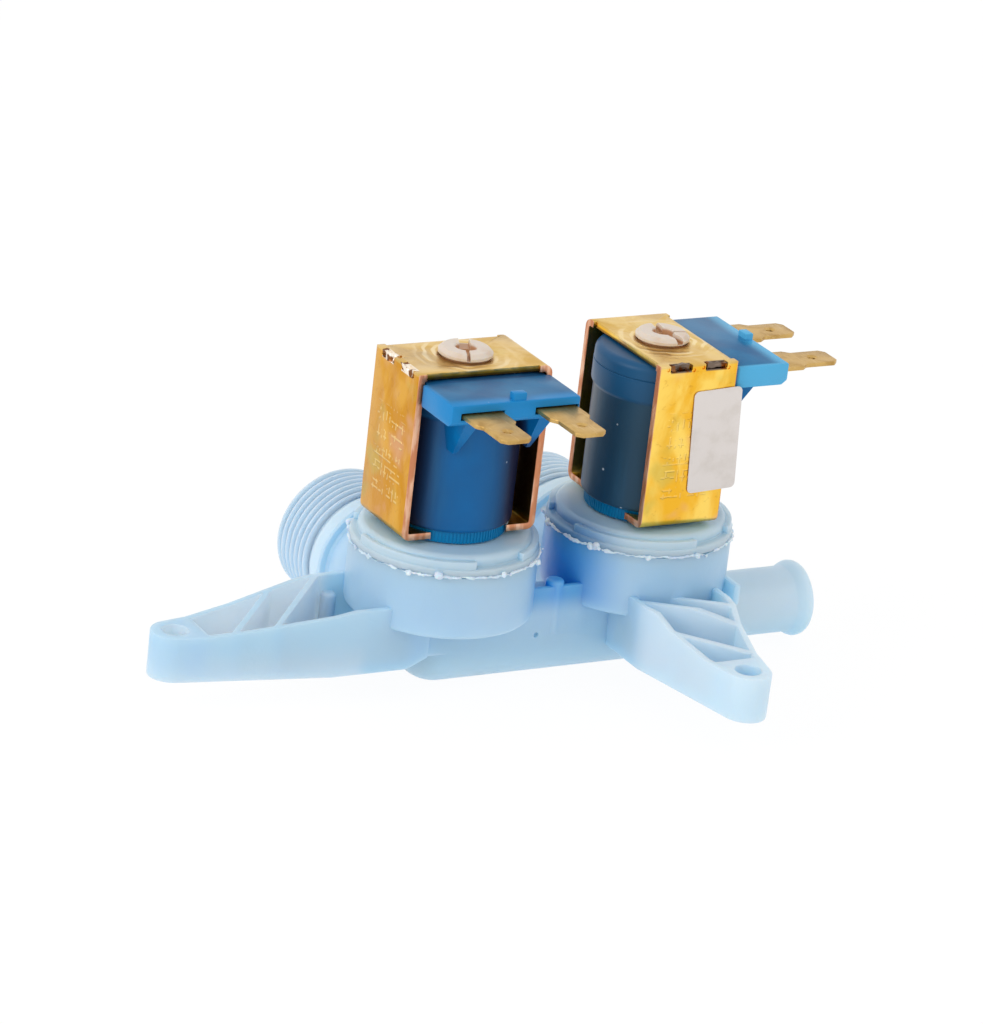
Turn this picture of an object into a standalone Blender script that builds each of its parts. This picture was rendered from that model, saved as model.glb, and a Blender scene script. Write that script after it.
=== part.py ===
"""Washing machine inlet valve: two solenoid valves on one moulded body, with two threaded
inlets at the back and one hose outlet at the right.

Frame: metres, +Z up. X runs along the manifold towards the outlet, the inlets point to +Y.
The shapes are drawn from a point below the axis of the first chamber, on the plane the valve
rests on. finish() then moves them, so that the origin lies below the middle of the valve's box.
"""

import math

import bmesh
import bpy
from mathutils import Matrix, Vector

# Gap kept between neighbouring pieces
GAP = 0.0003

# Chambers of the body
CHAMBER_SPACING = 0.0422
CHAMBER_RADIUS = 0.0178
CHAMBER_WALL = 0.0022
CHAMBER_BASE = 0.015
CHAMBER_FLOOR = 0.002
LEDGE_WIDTH = 0.0016
LEDGE_DROP = 0.0014
WELD_HEIGHT = 0.0276
SEAT_DROP = 0.0024
SEAT_RADIUS = 0.007
SEAT_BORE = 0.0052

# Manifold and outlet
MANIFOLD_RADIUS = 0.0082
MANIFOLD_BORE = 0.006
MANIFOLD_OVERRUN = 0.018
OUTLET_RADIUS = 0.00645
OUTLET_BORE = 0.0049
OUTLET_LENGTH = 0.0202
BEAD_RADIUS = 0.0074
BEAD_LENGTH = 0.0036
BUMP_RADIUS = 0.0019
BUMP_HEIGHT = 0.0012
BUMP_SHARE = 0.59

# Inlets
INLET_HEIGHT = 0.0134
THREAD_RADIUS = 0.01322
THREAD_PITCH = 0.001814
THREAD_DEPTH = 0.0011
THREAD_LENGTH = 0.0145
INLET_REACH = 0.0422
BARREL_LENGTH = 0.019
BARREL_RADIUS = 0.0122
NECK_RADIUS = 0.0112
INLET_BORE = 0.0103
INLET_BORE_DEPTH = 0.0155
PASSAGE_RADIUS = 0.0068
PASSAGE_END = 0.009

# Mounting arms
ARM_BASE = 0.0064
ARM_FLOOR = 0.002
ARM_WALL = 0.0017
ARM_HALF_WIDTH = 0.01
ARM_DRAFT = 0.0008
ARM_TOP = 0.0193
BOSS_DROP = 0.004
BOSS_RADIUS = 0.0047
SCREW_HOLE_RADIUS = 0.0025
RIB_THICKNESS = 0.0013
SIDE_ARM_LENGTH = 0.0543
SIDE_ARM_START = 0.0061
SIDE_ARM_TAPER = 0.026
SIDE_ARM_CHAMFER = 0.0042
SIDE_ARM_FALL = ((0.022, 0.0), (0.041, 0.003), (0.05, 0.004))
SIDE_ARM_RIBS = ((0.0203, 0.0403), (0.0295, 0.0495))
FRONT_ARM_LENGTH = 0.0434
FRONT_ARM_START = 0.0064
FRONT_ARM_TAPER = 0.02
FRONT_ARM_CHAMFER = 0.0
FRONT_ARM_FALL = ((0.0233, 0.0), (0.0274, 0.002), (0.037, 0.004))
FRONT_ARM_RIBS = ((0.0118, 0.0246), (0.0168, 0.0296), (0.0262, 0.0401))
ARM_BURIED = 0.004
PIN_BOSS_PLACE = (-0.0193, 0.0072)
PIN_BOSS_RADIUS = 0.0015
PIN_BOSS_DROP = 0.003
FIN_DISTANCE = 0.0141
FIN_REACH = 0.0155
FIN_THICKNESS = 0.0014

# Bonnets welded on the chambers
BONNET_RIM = 0.0014
BONNET_HEIGHT = 0.0036
BONNET_STEP_RADIUS = 0.0164
BONNET_PLATE = 0.0028
HUB_RADIUS = 0.0068
HUB_HEIGHT = 0.0018
LUG_HEIGHT = 0.0014
LUG_WIDTH = 0.0013
LUG_COUNT = 3
LUG_ANGLE = 84.0

# Yokes
YOKE_LENGTH = 0.028
YOKE_WIDTH = 0.0169
YOKE_HEIGHT = 0.0325
YOKE_LIFT = 0.0009
SHEET = 0.0013
BEND_RADIUS = 0.0017
EAR_LENGTH = 0.0027
EAR_RELIEF = 0.0007
STAKE_WIDTH = 0.0043
STAKE_OFFSET = 0.0038
STAKE_PROUD = 0.0004

# Coils
COIL_RADIUS = 0.0119
COLLAR_HEIGHT = 0.0077
FOOT_RADIUS = 0.0113
FLUTE_DEPTH = 0.00035
FLUTE_COUNT = 30
BLOCK_FRONT = 0.0204
BLOCK_HALF_WIDTH = 0.0133
BLOCK_THICKNESS = 0.0043
NUB_WIDTH = 0.0031
NUB_HEIGHT = 0.0022
NUB_DEPTH = 0.0018
GUSSET_WIDTH = 0.0028
GUSSET_DROP = 0.0052
GUSSET_REACH = 0.0058

# Terminals, quarter inch blades
BLADE_WIDTH = 0.00635
BLADE_THICKNESS = 0.0008
BLADE_LENGTH = 0.0079
BLADE_HOLE_RADIUS = 0.0009
BLADE_CHAMFER = 0.0011
TERMINAL_ROOT_WIDTH = 0.0084
TERMINAL_ROOT_LENGTH = 0.0056
TERMINAL_TAIL = 0.005
TERMINAL_SPACING = 0.0154
TERMINAL_SHIFT = 0.0008
TERMINAL_DROP = 0.0022

# Guide tubes and what moves in them
GUIDE_RADIUS = 0.0046
GUIDE_WALL = 0.0007
GUIDE_FLANGE_RADIUS = 0.0076
GUIDE_FLANGE = 0.0012
GUIDE_CROWN = 0.002
HEAD_RADIUS = 0.00515
HEAD_HEIGHT = 0.0013
HEAD_SLOT_WIDTH = 0.0017
HEAD_SLOT_DEPTH = 0.001
PLUNGER_RADIUS = 0.0036
PLUNGER_LENGTH = 0.0222
PLUNGER_GROOVE = 0.0005
TIP_RADIUS = 0.0016
TIP_LENGTH = 0.0028
TIP_SHOW = 0.0011
SPRING_RADIUS = 0.0026
SPRING_WIRE = 0.0004
SPRING_TURNS = 6

# Diaphragms
DIAPHRAGM_WEB = 0.0009
DIAPHRAGM_CENTRE_RADIUS = 0.0076
DIAPHRAGM_CENTRE = 0.0017
BEAD_WIDTH = 0.0013
INSERT_RADIUS = 0.006
INSERT_FLANGE = 0.0009
INSERT_STEM_RADIUS = 0.0024
INSERT_COLLAR = 0.0012
INSERT_COLLAR_HEIGHT = 0.0014
PILOT_RADIUS = 0.0007

# Strainers and flow washers in the inlets
WASHER_THICKNESS = 0.0026
WASHER_HOLE_RADIUS = 0.0032
SCREEN_RIM = 0.0012
SCREEN_RIM_WIDTH = 0.0012
SCREEN_DEPTH = 0.006
SCREEN_WALL = 0.0008
SCREEN_NOSE_RADIUS = 0.0045
SCREEN_SLOTS = 8
SCREEN_SLOT_WIDTH = 0.0014

# Blank sticker on the second yoke
LABEL_WIDTH = 0.0103
LABEL_HEIGHT = 0.0204
LABEL_THICKNESS = 0.00015
LABEL_CORNER = 0.001
LABEL_OVERHANG = 0.002
LABEL_DROP = 0.0052
LABEL_TILT = -3.0
LABEL_GAP = 0.0001

# Facets round a full turn
FINE = 32
MEDIUM = 24
COARSE = 16
LUG_STEPS = 9
SPRING_STEPS = 9
SPRING_SIDES = 4

# Heights and places that follow from the sizes above
SEAT_HEIGHT = WELD_HEIGHT - SEAT_DROP
BOSS_TOP = ARM_TOP - BOSS_DROP
BONNET_TOP = WELD_HEIGHT + BONNET_HEIGHT
YOKE_BASE = BONNET_TOP + YOKE_LIFT
YOKE_TOP = YOKE_BASE + YOKE_HEIGHT
COIL_TOP = YOKE_TOP - SHEET - GAP
COIL_BASE = BONNET_TOP + GAP
COIL_SHOULDER = YOKE_BASE + SHEET + GAP
COLLAR_RADIUS = YOKE_LENGTH / 2 - SHEET - GAP
BORE_RADIUS = GUIDE_RADIUS + GAP
FOOT_HOLE_RADIUS = FOOT_RADIUS + GAP
LEDGE_HEIGHT = WELD_HEIGHT - LEDGE_DROP - GAP
INNER_RADIUS = CHAMBER_RADIUS - CHAMBER_WALL
CUP_RADIUS = INNER_RADIUS - LEDGE_WIDTH
BONNET_UNDERSIDE = BONNET_TOP - BONNET_PLATE
INSERT_TOP = SEAT_HEIGHT + GAP + DIAPHRAGM_CENTRE + GAP + INSERT_FLANGE
TIP_BASE = INSERT_TOP + GAP
PLUNGER_BASE = TIP_BASE + TIP_SHOW
PLUNGER_TOP = PLUNGER_BASE + PLUNGER_LENGTH
FLANGE_TOP = BONNET_TOP - GUIDE_FLANGE
FLANGE_BASE = FLANGE_TOP - GUIDE_FLANGE
HEAD_BASE = YOKE_TOP + GAP
GUIDE_CEILING = HEAD_BASE - GUIDE_CROWN
INLET_SHELF = INLET_REACH - INLET_BORE_DEPTH
OUTLET_END = CHAMBER_SPACING + MANIFOLD_OVERRUN + OUTLET_LENGTH
MIDDLE_X = (OUTLET_END - SIDE_ARM_LENGTH - BOSS_RADIUS) / 2
MIDDLE_Y = (INLET_REACH - FRONT_ARM_LENGTH - BOSS_RADIUS) / 2


def material(name, colour, roughness, metallic=0.0):
    """A plain finish for one kind of stuff."""
    made = bpy.data.materials.new(name)
    made.use_nodes = True
    shader = made.node_tree.nodes["Principled BSDF"]
    shader.inputs["Base Color"].default_value = (*colour, 1.0)
    shader.inputs["Roughness"].default_value = roughness
    shader.inputs["Metallic"].default_value = metallic
    made.diffuse_color = (*colour, 1.0)
    return made


def new_object(name, mesh_data):
    """Puts a bmesh in the scene as an object, with its faces turned outwards."""
    bmesh.ops.recalc_face_normals(mesh_data, faces=mesh_data.faces)
    mesh = bpy.data.meshes.new(name)
    mesh_data.to_mesh(mesh)
    mesh_data.free()
    obj = bpy.data.objects.new(name, mesh)
    bpy.context.scene.collection.objects.link(obj)
    return obj


def turned(name, profile, steps, place=Matrix(), phase=0.5):
    """A solid of revolution about Z: the profile is a list of (radius, height), closed along the axis.

    The phase turns the facets, so that edges of crossing shapes don't fall on each other.
    """
    shape = bmesh.new()
    rings = []
    for radius, height in profile:
        if radius == 0:
            rings.append([shape.verts.new((0, 0, height))] * steps)
            continue
        ring = []
        for step in range(steps):
            angle = 2 * math.pi * (step + phase) / steps
            ring.append(shape.verts.new((radius * math.cos(angle), radius * math.sin(angle), height)))
        rings.append(ring)
    pairs = list(zip(rings, rings[1:]))
    if profile[0][0] != 0 or profile[-1][0] != 0:
        pairs.append((rings[-1], rings[0]))
    for low, high in pairs:
        for step in range(steps):
            following = (step + 1) % steps
            corners = []
            for corner in (low[step], low[following], high[following], high[step]):
                if corner not in corners:
                    corners.append(corner)
            if len(corners) > 2:
                shape.faces.new(corners)
    shape.transform(place)
    return new_object(name, shape)


def prism(name, outline, low, high, place=Matrix()):
    """An outline in XY, extruded from one height to another."""
    shape = bmesh.new()
    floor = [shape.verts.new((x, y, low)) for x, y in outline]
    roof = [shape.verts.new((x, y, high)) for x, y in outline]
    shape.faces.new(floor[::-1])
    shape.faces.new(roof)
    for index in range(len(outline)):
        following = (index + 1) % len(outline)
        shape.faces.new((floor[index], floor[following], roof[following], roof[index]))
    shape.transform(place)
    return new_object(name, shape)


def box(name, low, high, place=Matrix()):
    """An upright box between two corners."""
    outline = [(low[0], low[1]), (high[0], low[1]), (high[0], high[1]), (low[0], high[1])]
    return prism(name, outline, low[2], high[2], place)


def boolean(target, tool, operation):
    """Applies one exact Boolean to the target and removes the tool."""
    modifier = target.modifiers.new(operation.lower(), "BOOLEAN")
    modifier.operation = operation
    modifier.solver = "EXACT"
    modifier.object = tool
    bpy.context.view_layer.update()
    graph = bpy.context.evaluated_depsgraph_get()
    result = bpy.data.meshes.new_from_object(target.evaluated_get(graph))
    target.modifiers.clear()
    target.data = result
    bpy.data.objects.remove(tool)
    return target


def join(target, *tools):
    """Unites shapes into one solid."""
    for tool in tools:
        boolean(target, tool, "UNION")
    return target


def cut(target, *tools):
    """Takes shapes away from a solid."""
    for tool in tools:
        boolean(target, tool, "DIFFERENCE")
    return target


def tidy(obj, sharp_angle=32.0):
    """Welds hairline edges, turns faces to triangles and shades round stretches smooth."""
    shape = bmesh.new()
    shape.from_mesh(obj.data)
    bmesh.ops.remove_doubles(shape, verts=shape.verts, dist=2e-6)
    bmesh.ops.dissolve_degenerate(shape, edges=shape.edges, dist=2e-6)
    bmesh.ops.triangulate(shape, faces=shape.faces)
    shape.to_mesh(obj.data)
    shape.free()
    obj.data.shade_smooth()
    obj.data.set_sharp_from_angle(angle=math.radians(sharp_angle))
    return obj


def finish(obj, name, finish_material, sharp_angle=32.0):
    """Moves a piece to the valve's own frame, names it and gives it its material."""
    tidy(obj, sharp_angle)
    obj.data.transform(Matrix.Translation((-MIDDLE_X, -MIDDLE_Y, 0)))
    obj.name = name
    obj.data.name = name
    obj.data.materials.clear()
    obj.data.materials.append(finish_material)
    return obj


def set_origin(obj, x, z):
    """Puts a finished piece's origin on the axis of its chamber, without moving its shape."""
    point = Vector((x - MIDDLE_X, -MIDDLE_Y, z))
    obj.data.transform(Matrix.Translation(-point))
    obj.location = point
    return obj


def along_x(x, y, z):
    """A place whose local Z runs along +X."""
    return Matrix.Translation((x, y, z)) @ Matrix.Rotation(math.radians(90), 4, "Y")


def along_y(x, y, z):
    """A place whose local Z runs along +Y."""
    return Matrix.Translation((x, y, z)) @ Matrix.Rotation(math.radians(-90), 4, "X")


def arc(centre, radius, start, end, steps):
    """Points on an arc, from one angle to another in degrees."""
    points = []
    for step in range(steps + 1):
        angle = math.radians(start + (end - start) * step / steps)
        points.append((centre[0] + radius * math.cos(angle), centre[1] + radius * math.sin(angle)))
    return points


def rounded_rectangle(width, height, radius, steps=5):
    """A centred rectangle with round corners."""
    points = []
    for index, (sx, sy) in enumerate(((1, 1), (-1, 1), (-1, -1), (1, -1))):
        centre = (sx * (width / 2 - radius), sy * (height / 2 - radius))
        points += arc(centre, radius, 90 * index, 90 * index + 90, steps)
    return points


def cup(x):
    """One chamber, still solid inside."""
    profile = [(0, CHAMBER_BASE), (CHAMBER_RADIUS - 0.0004, CHAMBER_BASE), (CHAMBER_RADIUS, CHAMBER_BASE + 0.0004)]
    profile += [(CHAMBER_RADIUS, WELD_HEIGHT - GAP), (0, WELD_HEIGHT - GAP)]
    return turned("cup", profile, FINE, Matrix.Translation((x, 0, 0)))


def cup_hollow(x):
    """The ring-shaped water space round the valve seat, with the ledge for the diaphragm."""
    floor = CHAMBER_BASE + CHAMBER_FLOOR
    above = WELD_HEIGHT + CHAMBER_FLOOR
    profile = [(0, SEAT_HEIGHT), (SEAT_RADIUS, SEAT_HEIGHT), (SEAT_RADIUS, floor), (CUP_RADIUS, floor)]
    profile += [(CUP_RADIUS, LEDGE_HEIGHT), (INNER_RADIUS, LEDGE_HEIGHT), (INNER_RADIUS, above), (0, above)]
    return turned("cup_hollow", profile, FINE, Matrix.Translation((x, 0, 0)))


def seat_bore(x):
    """The way down from the valve seat into the manifold."""
    profile = [(0, MANIFOLD_RADIUS), (SEAT_BORE, MANIFOLD_RADIUS), (SEAT_BORE, WELD_HEIGHT + GAP), (0, WELD_HEIGHT + GAP)]
    return turned("seat_bore", profile, COARSE, Matrix.Translation((x, 0, 0)), 0.2)


def manifold():
    """Manifold and beaded outlet, turned about their common axis; the left end is domed.

    An edge and not a facet lies lowest, so that the valve rests on a line and two inlets.
    """
    shoulder = CHAMBER_SPACING + MANIFOLD_OVERRUN
    end = OUTLET_END
    dome = arc((0, 0), MANIFOLD_RADIUS, 180, 90, 8)
    profile = [(y, x) for x, y in dome]
    profile[0] = (0, -MANIFOLD_RADIUS)
    profile += [(MANIFOLD_RADIUS, shoulder - 0.001), (MANIFOLD_RADIUS - 0.001, shoulder)]
    profile += [(OUTLET_RADIUS, shoulder), (OUTLET_RADIUS, end - BEAD_LENGTH)]
    profile += [(BEAD_RADIUS - 0.0003, end - 0.6 * BEAD_LENGTH), (BEAD_RADIUS, end - 0.35 * BEAD_LENGTH)]
    profile += [(BEAD_RADIUS - 0.0002, end - 0.12 * BEAD_LENGTH), (BEAD_RADIUS - 0.0007, end), (0, end)]
    return turned("manifold", profile, MEDIUM, along_x(0, 0, MANIFOLD_RADIUS), 0)


def manifold_hollow():
    """The bore of the manifold, narrower in the outlet."""
    shoulder = CHAMBER_SPACING + MANIFOLD_OVERRUN
    end = OUTLET_END
    profile = [(0, -SEAT_BORE), (MANIFOLD_BORE - 0.001, -SEAT_BORE), (MANIFOLD_BORE, 0.001 - SEAT_BORE)]
    profile += [(MANIFOLD_BORE, shoulder - 0.003), (OUTLET_BORE, shoulder), (OUTLET_BORE, end + GAP), (0, end + GAP)]
    return turned("manifold_hollow", profile, COARSE, along_x(0, 0, MANIFOLD_RADIUS), 0.4)


def inlet(x):
    """Neck and barrel of one inlet; the barrel is as wide as the crests of its thread."""
    start = INLET_REACH - BARREL_LENGTH
    undercut = INLET_REACH - THREAD_LENGTH
    root = -NECK_RADIUS / 10
    profile = [(0, root), (NECK_RADIUS, root), (NECK_RADIUS, start), (THREAD_RADIUS - 0.0003, start)]
    profile += [(THREAD_RADIUS, start + 0.0003), (THREAD_RADIUS, undercut - 0.5 * THREAD_PITCH)]
    profile += [(BARREL_RADIUS, undercut - 0.4 * THREAD_PITCH), (BARREL_RADIUS, undercut)]
    profile += [(THREAD_RADIUS, undercut + 0.4 * THREAD_PITCH), (THREAD_RADIUS, INLET_REACH - THREAD_DEPTH)]
    profile += [(BARREL_RADIUS - 0.0002, INLET_REACH), (0, INLET_REACH)]
    return turned("inlet", profile, MEDIUM, along_y(x, 0, INLET_HEIGHT), 0)


def inlet_hollow(x):
    """Wide bore for the strainer, then the passage to the chamber."""
    profile = [(0, PASSAGE_END), (PASSAGE_RADIUS, PASSAGE_END), (PASSAGE_RADIUS, INLET_SHELF), (INLET_BORE, INLET_SHELF)]
    profile += [(INLET_BORE, INLET_REACH + GAP), (0, INLET_REACH + GAP)]
    return turned("inlet_hollow", profile, MEDIUM, along_y(x, 0, INLET_HEIGHT), 0.3)


def arm_outline(length, start, half_width, taper_start, tip_radius):
    """Plan of an arm: parallel near the chamber, then tapering to the round tip."""
    dx = taper_start - length
    distance = math.hypot(dx, half_width)
    touch = math.degrees(math.atan2(half_width, dx) - math.acos(tip_radius / distance))
    points = [(start, -half_width), (taper_start, -half_width)]
    points += arc((length, 0), tip_radius, -touch, touch, 12)
    points += [(taper_start, half_width), (start, half_width)]
    return points


def arm(x, turn, length, start, taper_start, fall, ribs, chamfer):
    """One mounting arm: an open-topped box with slanting ribs that tapers to a screw boss.

    Local X runs outwards. The fall lists (distance, drop of the top) from the chamber to the boss, and each
    rib goes from its first distance on the -Y side to its second on the +Y side.
    """
    top_line = [(distance, ARM_TOP - drop) for distance, drop in fall]
    above = ARM_TOP + 0.01
    outline = arm_outline(length, start, ARM_HALF_WIDTH, taper_start, BOSS_RADIUS)
    body = prism("arm", outline, ARM_BASE, above)
    narrowing = 1 - ARM_DRAFT / ARM_HALF_WIDTH
    for vertex in body.data.vertices:
        if vertex.co.z < above - GAP:
            vertex.co.y *= narrowing
    shape = bmesh.new()
    shape.from_mesh(body.data)
    bmesh.ops.triangulate(shape, faces=shape.faces)
    shape.to_mesh(body.data)
    shape.free()
    upright = Matrix.Rotation(math.radians(90), 4, "X")
    slope = [(start - 0.002, top_line[0][1])] + top_line + [(length + 0.01, top_line[-1][1])]
    slope += [(length + 0.01, above + 0.001), (start - 0.002, above + 0.001)]
    cut(body, prism("slope", slope, -0.02, 0.02, upright))
    if chamfer:
        wedge = [(start - 0.001, 0), (start + chamfer, ARM_BASE), (start - 0.001, ARM_BASE + 0.6 * chamfer)]
        cut(body, prism("wedge", wedge, -0.02, 0.02, upright))
    inner_half = ARM_HALF_WIDTH - ARM_WALL
    inner_start = start + ARM_BURIED
    pocket_end = length - BOSS_RADIUS - 0.0002
    narrow = inner_half + (BOSS_RADIUS - ARM_WALL - inner_half) * (pocket_end - taper_start) / (length - taper_start)
    pocket = [(inner_start, -inner_half), (taper_start, -inner_half), (pocket_end, -narrow)]
    pocket += [(pocket_end, narrow), (taper_start, inner_half), (inner_start, inner_half)]
    hollow = prism("pocket", pocket, ARM_BASE + ARM_FLOOR, above)
    for near, far in ribs:
        run = Vector((far - near, 2 * ARM_HALF_WIDTH))
        across = Vector((run.y, -run.x)).normalized() * RIB_THICKNESS / 2
        first = Vector((near, -ARM_HALF_WIDTH))
        last = Vector((far, ARM_HALF_WIDTH))
        band = [first - across, first + across, last + across, last - across]
        cut(hollow, prism("rib", [tuple(point) for point in band], ARM_BASE, above + 0.001))
    cut(body, hollow)
    hole = [(0, 0), (SCREW_HOLE_RADIUS, 0), (SCREW_HOLE_RADIUS, above), (0, above)]
    cut(body, turned("hole", hole, COARSE, Matrix.Translation((length, 0, 0))))
    body.data.transform(Matrix.Translation((x, 0, 0)) @ Matrix.Rotation(math.radians(turn), 4, "Z"))
    return body


def valve_body(stuff):
    """The one-piece moulding: chambers, manifold, inlets, outlet and both arms."""
    second = CHAMBER_SPACING
    body = manifold()
    for x in (0, second):
        join(body, cup(x), inlet(x))
    join(body, arm(0, 180, SIDE_ARM_LENGTH, SIDE_ARM_START, SIDE_ARM_TAPER, SIDE_ARM_FALL, SIDE_ARM_RIBS,
                   SIDE_ARM_CHAMFER))
    join(body, arm(second, -90, FRONT_ARM_LENGTH, FRONT_ARM_START, FRONT_ARM_TAPER, FRONT_ARM_FALL, FRONT_ARM_RIBS,
                   FRONT_ARM_CHAMFER))
    boss_low, boss_high = ARM_BASE + GAP, ARM_TOP - PIN_BOSS_DROP
    pin_boss = [(0, boss_low), (PIN_BOSS_RADIUS, boss_low), (PIN_BOSS_RADIUS, boss_high), (0, boss_high)]
    join(body, turned("pin_boss", pin_boss, 12, Matrix.Translation((*PIN_BOSS_PLACE, 0))))
    fin = [(-MANIFOLD_RADIUS / 2, MANIFOLD_RADIUS), (-FIN_REACH, BOSS_TOP), (-FIN_REACH, ARM_TOP)]
    fin.append((-MANIFOLD_RADIUS / 2, ARM_TOP))
    across = Matrix(((0, 0, 1, second + FIN_DISTANCE), (1, 0, 0, 0), (0, 1, 0, 0), (0, 0, 0, 1)))
    join(body, prism("fin", fin, -FIN_THICKNESS / 2, FIN_THICKNESS / 2, across))
    bump = [(0, MANIFOLD_RADIUS), (BUMP_RADIUS, MANIFOLD_RADIUS), (BUMP_RADIUS, 2 * MANIFOLD_RADIUS + BUMP_HEIGHT)]
    bump.append((0, 2 * MANIFOLD_RADIUS + BUMP_HEIGHT))
    join(body, turned("bump", bump, COARSE, Matrix.Translation((BUMP_SHARE * second, 0, 0))))
    water = manifold_hollow()
    for x in (0, second):
        join(water, seat_bore(x), cup_hollow(x), inlet_hollow(x))
    cut(body, water)
    return finish(body, "valve_body", stuff)


def bonnet(name, x, turn, stuff):
    """Cap welded on a chamber, with a hub for the guide tube and drive lugs for the spin weld."""
    rim = WELD_HEIGHT + BONNET_RIM
    clear = INNER_RADIUS - GAP
    profile = [(CHAMBER_RADIUS, WELD_HEIGHT), (CHAMBER_RADIUS, rim - 0.0004), (CHAMBER_RADIUS - 0.0004, rim)]
    profile += [(BONNET_STEP_RADIUS, rim), (BONNET_STEP_RADIUS - 0.0002, rim + 0.0008)]
    profile += [(BONNET_STEP_RADIUS - 0.0013, rim + 0.0011), (BONNET_STEP_RADIUS - 0.0019, BONNET_TOP - 0.0003)]
    profile += [(BONNET_STEP_RADIUS - 0.0026, BONNET_TOP), (HUB_RADIUS, BONNET_TOP), (HUB_RADIUS, BONNET_TOP + HUB_HEIGHT)]
    profile += [(BORE_RADIUS, BONNET_TOP + HUB_HEIGHT), (BORE_RADIUS, FLANGE_TOP + GAP)]
    profile += [(GUIDE_FLANGE_RADIUS + GAP, FLANGE_TOP + GAP), (GUIDE_FLANGE_RADIUS + GAP, BONNET_UNDERSIDE)]
    profile += [(clear, BONNET_UNDERSIDE), (clear, WELD_HEIGHT)]
    cap = turned("bonnet", profile, FINE)
    outer = CHAMBER_RADIUS - 0.0003
    for index in range(LUG_COUNT):
        start = turn + 360 * index / LUG_COUNT - LUG_ANGLE
        ring = arc((0, 0), outer, start, start + LUG_ANGLE, LUG_STEPS)
        ring += arc((0, 0), outer - LUG_WIDTH, start + LUG_ANGLE, start, LUG_STEPS)
        join(cap, prism("lug", ring, WELD_HEIGHT + 0.0005, rim + LUG_HEIGHT))
    cap.data.transform(Matrix.Translation((x, 0, 0)))
    return finish(cap, name, stuff)


def yoke(name, x, turn, stuff):
    """Steel strip bent into a loop, with big foot hole, ears at the bends and two staked tabs."""
    half = YOKE_LENGTH / 2
    outline = [(-half, YOKE_TOP)]
    outline += arc((-half + BEND_RADIUS, YOKE_BASE + BEND_RADIUS), BEND_RADIUS, 180, 270, 6)
    outline += arc((half - BEND_RADIUS, YOKE_BASE + BEND_RADIUS), BEND_RADIUS, 270, 360, 6)
    outline += arc((half - BEND_RADIUS, YOKE_TOP - BEND_RADIUS), BEND_RADIUS, 0, 90, 6)
    upright = Matrix.Rotation(math.radians(90), 4, "X")
    loop = prism("yoke", outline, -YOKE_WIDTH / 2, YOKE_WIDTH / 2, upright)
    bend = max(BEND_RADIUS - SHEET, 0.0002)
    left, right = -half + SHEET, half - SHEET
    low, high = YOKE_BASE + SHEET, YOKE_TOP - SHEET
    inside = [(left, high)]
    inside += arc((left + bend, low + bend), bend, 180, 270, 4)
    inside += arc((right - bend, low + bend), bend, 270, 360, 4)
    inside += arc((right - bend, high - bend), bend, 0, 90, 4)
    cut(loop, prism("inside", inside, -YOKE_WIDTH, YOKE_WIDTH, upright))
    foot = [(0, YOKE_BASE - SHEET), (FOOT_HOLE_RADIUS, YOKE_BASE - SHEET), (FOOT_HOLE_RADIUS, low + bend), (0, low + bend)]
    cut(loop, turned("foot", foot, FINE))
    head = [(0, high - SHEET), (BORE_RADIUS, high - SHEET), (BORE_RADIUS, YOKE_TOP + SHEET), (0, YOKE_TOP + SHEET)]
    cut(loop, turned("head", head, MEDIUM))
    relief = YOKE_WIDTH / 2 - EAR_RELIEF
    for side in (-1, 1):
        edges = sorted((side * relief, side * YOKE_WIDTH))
        near = (-half + SHEET + 0.0004, edges[0], high - bend)
        far = (half - EAR_LENGTH, edges[1], YOKE_TOP + SHEET)
        cut(loop, box("relief", near, far))
    for offset in (-STAKE_OFFSET, STAKE_OFFSET):
        low_corner = (-half - STAKE_PROUD, offset - STAKE_WIDTH / 2, high + 0.0001)
        high_corner = (-half + SHEET / 2, offset + STAKE_WIDTH / 2, YOKE_TOP - 0.0001)
        join(loop, box("stake", low_corner, high_corner))
    loop.data.transform(Matrix.Translation((x, 0, 0)) @ Matrix.Rotation(math.radians(turn), 4, "Z"))
    return finish(loop, name, stuff)


def terminal_centres():
    """Distances of the two blades across the block."""
    return (TERMINAL_SHIFT - TERMINAL_SPACING / 2, TERMINAL_SHIFT + TERMINAL_SPACING / 2)


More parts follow.
